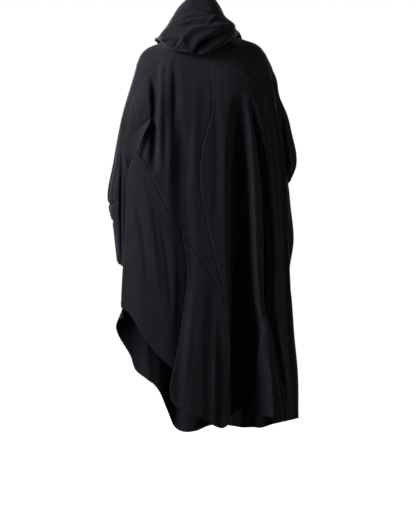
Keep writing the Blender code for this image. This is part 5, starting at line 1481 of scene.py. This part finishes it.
def even_points(points, step):
    """Points at even steps along a line, with the way the line runs at each."""
    steps = np.linalg.norm(np.diff(points, axis=0), axis=1)
    lengths = np.concatenate(([0.0], np.cumsum(steps)))
    places = np.arange(step, lengths[-1] - step, step)
    even = np.column_stack([np.interp(places, lengths, points[:, axis]) for axis in range(3)])
    ahead = np.column_stack([np.interp(places + step / 3, lengths, points[:, axis])
                             for axis in range(3)])
    return even, unit(ahead - even)


def add_stitches(name, runs, material):
    """Short threads laid along each run: a line of points and the tree that it lies on."""
    corners = []
    faces = []
    for points, tree in runs:
        spots, ways = even_points(points, STITCH_STEP)
        for spot, way in zip(spots, ways):
            found, normal, _, _ = tree.find_nearest(Vector(spot))
            if found is None:
                continue
            centre = np.array(found)
            up = np.array(normal)
            side = unit(np.cross(way, up))
            for place, size, lift in STITCH_SHAPE:
                middle = centre + way * place * STITCH_LENGTH + up * lift * STITCH_RADIUS
                for index in range(STITCH_SIDES):
                    turn = 2 * math.pi * index / STITCH_SIDES
                    ray = math.cos(turn) * side + math.sin(turn) * up
                    corners.append(middle + ray * size * STITCH_RADIUS)
            base = len(corners) - len(STITCH_SHAPE) * STITCH_SIDES
            for row in range(len(STITCH_SHAPE) - 1):
                for index in range(STITCH_SIDES):
                    after = (index + 1) % STITCH_SIDES
                    first = base + row * STITCH_SIDES
                    faces.append((first + index, first + after, first + STITCH_SIDES + after,
                                  first + STITCH_SIDES + index))
    mesh = bpy.data.meshes.new(name)
    mesh.from_pydata([tuple(corner) for corner in corners], [], faces)
    mesh.update()
    mesh.shade_smooth()
    mesh.materials.append(material)
    piece = bpy.data.objects.new(name, mesh)
    bpy.context.scene.collection.objects.link(piece)
    return piece


# Materials
def felt_material(name, dark, light):
    """Felted wool: matted fibres, small lumps and soft uneven tone."""
    material = bpy.data.materials.new(name)
    material.use_nodes = True
    tree = material.node_tree
    shader = tree.nodes["Principled BSDF"]
    shader.inputs["Roughness"].default_value = 0.92
    shader.inputs["Specular IOR Level"].default_value = 0.18
    shader.inputs["Sheen Weight"].default_value = 0.05
    shader.inputs["Sheen Roughness"].default_value = 0.55
    shader.inputs["Sheen Tint"].default_value = (0.80, 0.82, 0.92, 1.0)
    place = tree.nodes.new("ShaderNodeTexCoord")

    def noise(scale, detail, roughness, stretch=None):
        texture = tree.nodes.new("ShaderNodeTexNoise")
        texture.inputs["Scale"].default_value = scale
        texture.inputs["Detail"].default_value = detail
        texture.inputs["Roughness"].default_value = roughness
        source = place.outputs["Object"]
        if stretch is not None:
            mapping = tree.nodes.new("ShaderNodeMapping")
            mapping.inputs["Scale"].default_value = stretch
            tree.links.new(source, mapping.inputs["Vector"])
            source = mapping.outputs["Vector"]
        tree.links.new(source, texture.inputs["Vector"])
        return texture.outputs["Fac"]

    def blend(first, second, share):
        mixed = tree.nodes.new("ShaderNodeMix")
        mixed.data_type = "FLOAT"
        mixed.inputs["Factor"].default_value = share
        tree.links.new(first, mixed.inputs["A"])
        tree.links.new(second, mixed.inputs["B"])
        return mixed.outputs["Result"]

    cloud = noise(9.0, 3.0, 0.55)
    streaks = noise(120.0, 3.0, 0.65, (1.0, 1.0, 0.40))
    lumps = noise(260.0, 3.0, 0.60)
    fibres = noise(900.0, 4.0, 0.70, (1.0, 1.0, 0.45))
    tone = blend(blend(cloud, streaks, 0.60), fibres, 0.30)
    ramp = tree.nodes.new("ShaderNodeValToRGB")
    ramp.color_ramp.elements[0].position = 0.36
    ramp.color_ramp.elements[0].color = dark
    ramp.color_ramp.elements[1].position = 0.66
    ramp.color_ramp.elements[1].color = light
    tree.links.new(tone, ramp.inputs["Fac"])
    tree.links.new(ramp.outputs["Color"], shader.inputs["Base Color"])
    relief = blend(lumps, fibres, 0.5)
    bump = tree.nodes.new("ShaderNodeBump")
    bump.inputs["Strength"].default_value = 0.55
    bump.inputs["Distance"].default_value = 0.0012
    tree.links.new(relief, bump.inputs["Height"])
    tree.links.new(bump.outputs["Normal"], shader.inputs["Normal"])
    return material


def thread_material(name, color):
    """Twisted thread, a little shinier than the felt."""
    material = bpy.data.materials.new(name)
    material.use_nodes = True
    tree = material.node_tree
    shader = tree.nodes["Principled BSDF"]
    shader.inputs["Roughness"].default_value = 0.60
    shader.inputs["Specular IOR Level"].default_value = 0.35
    place = tree.nodes.new("ShaderNodeTexCoord")
    twist = tree.nodes.new("ShaderNodeTexNoise")
    twist.inputs["Scale"].default_value = 1400.0
    tree.links.new(place.outputs["Object"], twist.inputs["Vector"])
    ramp = tree.nodes.new("ShaderNodeValToRGB")
    ramp.color_ramp.elements[0].color = [value * 0.6 for value in color[:3]] + [1.0]
    ramp.color_ramp.elements[1].color = [value * 1.5 for value in color[:3]] + [1.0]
    tree.links.new(twist.outputs["Fac"], ramp.inputs["Fac"])
    tree.links.new(ramp.outputs["Color"], shader.inputs["Base Color"])
    bump = tree.nodes.new("ShaderNodeBump")
    bump.inputs["Strength"].default_value = 0.4
    bump.inputs["Distance"].default_value = 0.0003
    tree.links.new(twist.outputs["Fac"], bump.inputs["Height"])
    tree.links.new(bump.outputs["Normal"], shader.inputs["Normal"])
    return material


FELT_DARK = (0.0079, 0.0074, 0.0104, 1.0)
FELT_LIGHT = (0.0152, 0.0142, 0.0195, 1.0)
THREAD = (0.010, 0.010, 0.012)


def build():
    """All the cloth and its sewing, tied to the part."""
    felt = felt_material("felted_wool", FELT_DARK, FELT_LIGHT)
    thread = thread_material("sewing_thread", THREAD)
    line = build_seams()
    pieces = {}
    rows = []
    for node in OUTLINES:
        outline = panel_outline(node, line)
        pieces[node] = add_panel(node, outline, line, felt)
        rows += panel_rows(node, outline, line, pieces[node])
    armhole_l = join(line["armhole_l_shoulder"], line["low_raglan"], line["armhole_l_back"],
                     line["armhole_l_front"], line["armhole_l_top"])
    armhole_r = join(line["armhole_r_back"], line["armhole_r_front"], line["armhole_r_top"])
    armhole_l = denser(armhole_l, 2)
    armhole_r = denser(armhole_r, 2)
    neckline = join(line["neck_yoke"], line["neck_centre"], line["neck_right"], line["neck_side"],
                    line["neck_front"][:-1])
    neckline = denser(neckline, 3)
    tubes = {
        "sleeve_left": sleeve_grid(armhole_l, LEFT_SLEEVE, LEFT_SLEEVE_STROKES, False),
        "sleeve_right": sleeve_grid(armhole_r, RIGHT_SLEEVE, RIGHT_SLEEVE_STROKES, True),
        "hood": hood_grid(neckline, ALONG_HOOD),
    }
    for node, grid in tubes.items():
        pieces[node] = add_tube(node, grid, felt)
        rows += tube_rows(node, grid, pieces[node])
    for node, piece in pieces.items():
        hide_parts(node)
        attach(piece, "root")
    stitches = add_stitches("stitching", rows, thread)
    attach(stitches, "root")


build()

# Camera
FILM_HEIGHT = 36
camera_data = bpy.data.cameras.new("camera")
camera_data.sensor_fit = "VERTICAL"
camera_data.sensor_height = FILM_HEIGHT
camera_data.lens = FOCAL / PICTURE_HEIGHT * FILM_HEIGHT
camera_data.shift_y = (EYE_DOT[1] - PICTURE_HEIGHT / 2) / PICTURE_HEIGHT
camera = bpy.data.objects.new("camera", camera_data)
camera.location = EYE
camera.rotation_euler = (math.radians(90), 0, 0)
bpy.context.scene.collection.objects.link(camera)
bpy.context.scene.camera = camera
bpy.context.scene.view_settings.view_transform = "Standard"


# Light
def area_light(name, place, target, size, power, color):
    """A flat light that points at a place."""
    data = bpy.data.lights.new(name, "AREA")
    data.shape = "RECTANGLE"
    data.size, data.size_y = size
    data.energy = power
    data.color = color
    light = bpy.data.objects.new(name, data)
    light.location = place
    light.rotation_euler = (Vector(target) - Vector(place)).to_track_quat("-Z", "Y").to_euler()
    bpy.context.scene.collection.objects.link(light)
    return light


# Each light: its place, the place that it points at, its size, its power and its colour
COOL = (0.97, 0.98, 1.0)
WARM = (1.0, 0.99, 0.98)
LIGHTS = {
    "key": ((-1.25, -0.55, 0.55), (-0.1, 0, -0.3), (0.7, 0.7), 25, (1.0, 0.995, 0.99)),
    "low_fill": ((-2.1, -1.2, -0.6), (0, 0, -0.7), (1.2, 1.2), 26, COOL),
    "right_fill": ((2.6, -0.6, 0.2), (0, 0, -0.5), (1.2, 1.6), 9.5, COOL),
    "front_fill": ((-1.3, 2.8, 1.0), (0, 0, -0.5), (1.2, 1.2), 110, WARM),
    "right_front_fill": ((1.5, 2.9, 1.0), (0, 0, -0.5), (1.2, 1.2), 40, WARM),
}
for name, row in LIGHTS.items():
    area_light(name, *row)

world = bpy.data.worlds.new("studio")
bpy.context.scene.world = world
world.use_nodes = True
tree = world.node_tree
surface = tree.nodes["Background"]
surface.inputs["Color"].default_value = (0.90, 0.93, 1.0, 1.0)
surface.inputs["Strength"].default_value = 0.12
seen = tree.nodes.new("ShaderNodeBackground")
seen.inputs["Color"].default_value = (1.0, 1.0, 1.0, 1.0)
seen.inputs["Strength"].default_value = 1.0
path = tree.nodes.new("ShaderNodeLightPath")
mix = tree.nodes.new("ShaderNodeMixShader")
tree.links.new(path.outputs["Is Camera Ray"], mix.inputs["Fac"])
tree.links.new(surface.outputs["Background"], mix.inputs[1])
tree.links.new(seen.outputs["Background"], mix.inputs[2])
tree.links.new(mix.outputs["Shader"], tree.nodes["World Output"].inputs["Surface"])

# Floor, below the hem and wider than the picture
FLOOR_Z = -1.6
FLOOR_CORNERS = ((-30, -12), (30, -12), (30, 60), (-30, 60))
floor_mesh = bpy.data.meshes.new("floor")
floor_mesh.from_pydata([(x, y, FLOOR_Z) for x, y in FLOOR_CORNERS], [], [(0, 1, 2, 3)])
floor = bpy.data.objects.new("floor", floor_mesh)
bpy.context.scene.collection.objects.link(floor)
floor_paint = bpy.data.materials.new("floor_paint")
floor_paint.use_nodes = True
floor_shader = floor_paint.node_tree.nodes["Principled BSDF"]
floor_shader.inputs["Base Color"].default_value = (0.16, 0.16, 0.16, 1.0)
floor_shader.inputs["Roughness"].default_value = 0.9
floor_shader.inputs["Specular IOR Level"].default_value = 0.0
floor_shader.inputs["Emission Color"].default_value = (1.0, 1.0, 1.0, 1.0)
floor_shader.inputs["Emission Strength"].default_value = 1.0
floor_mesh.materials.append(floor_paint)
floor.visible_diffuse = False
floor.visible_glossy = False

bpy.context.view_layer.update()
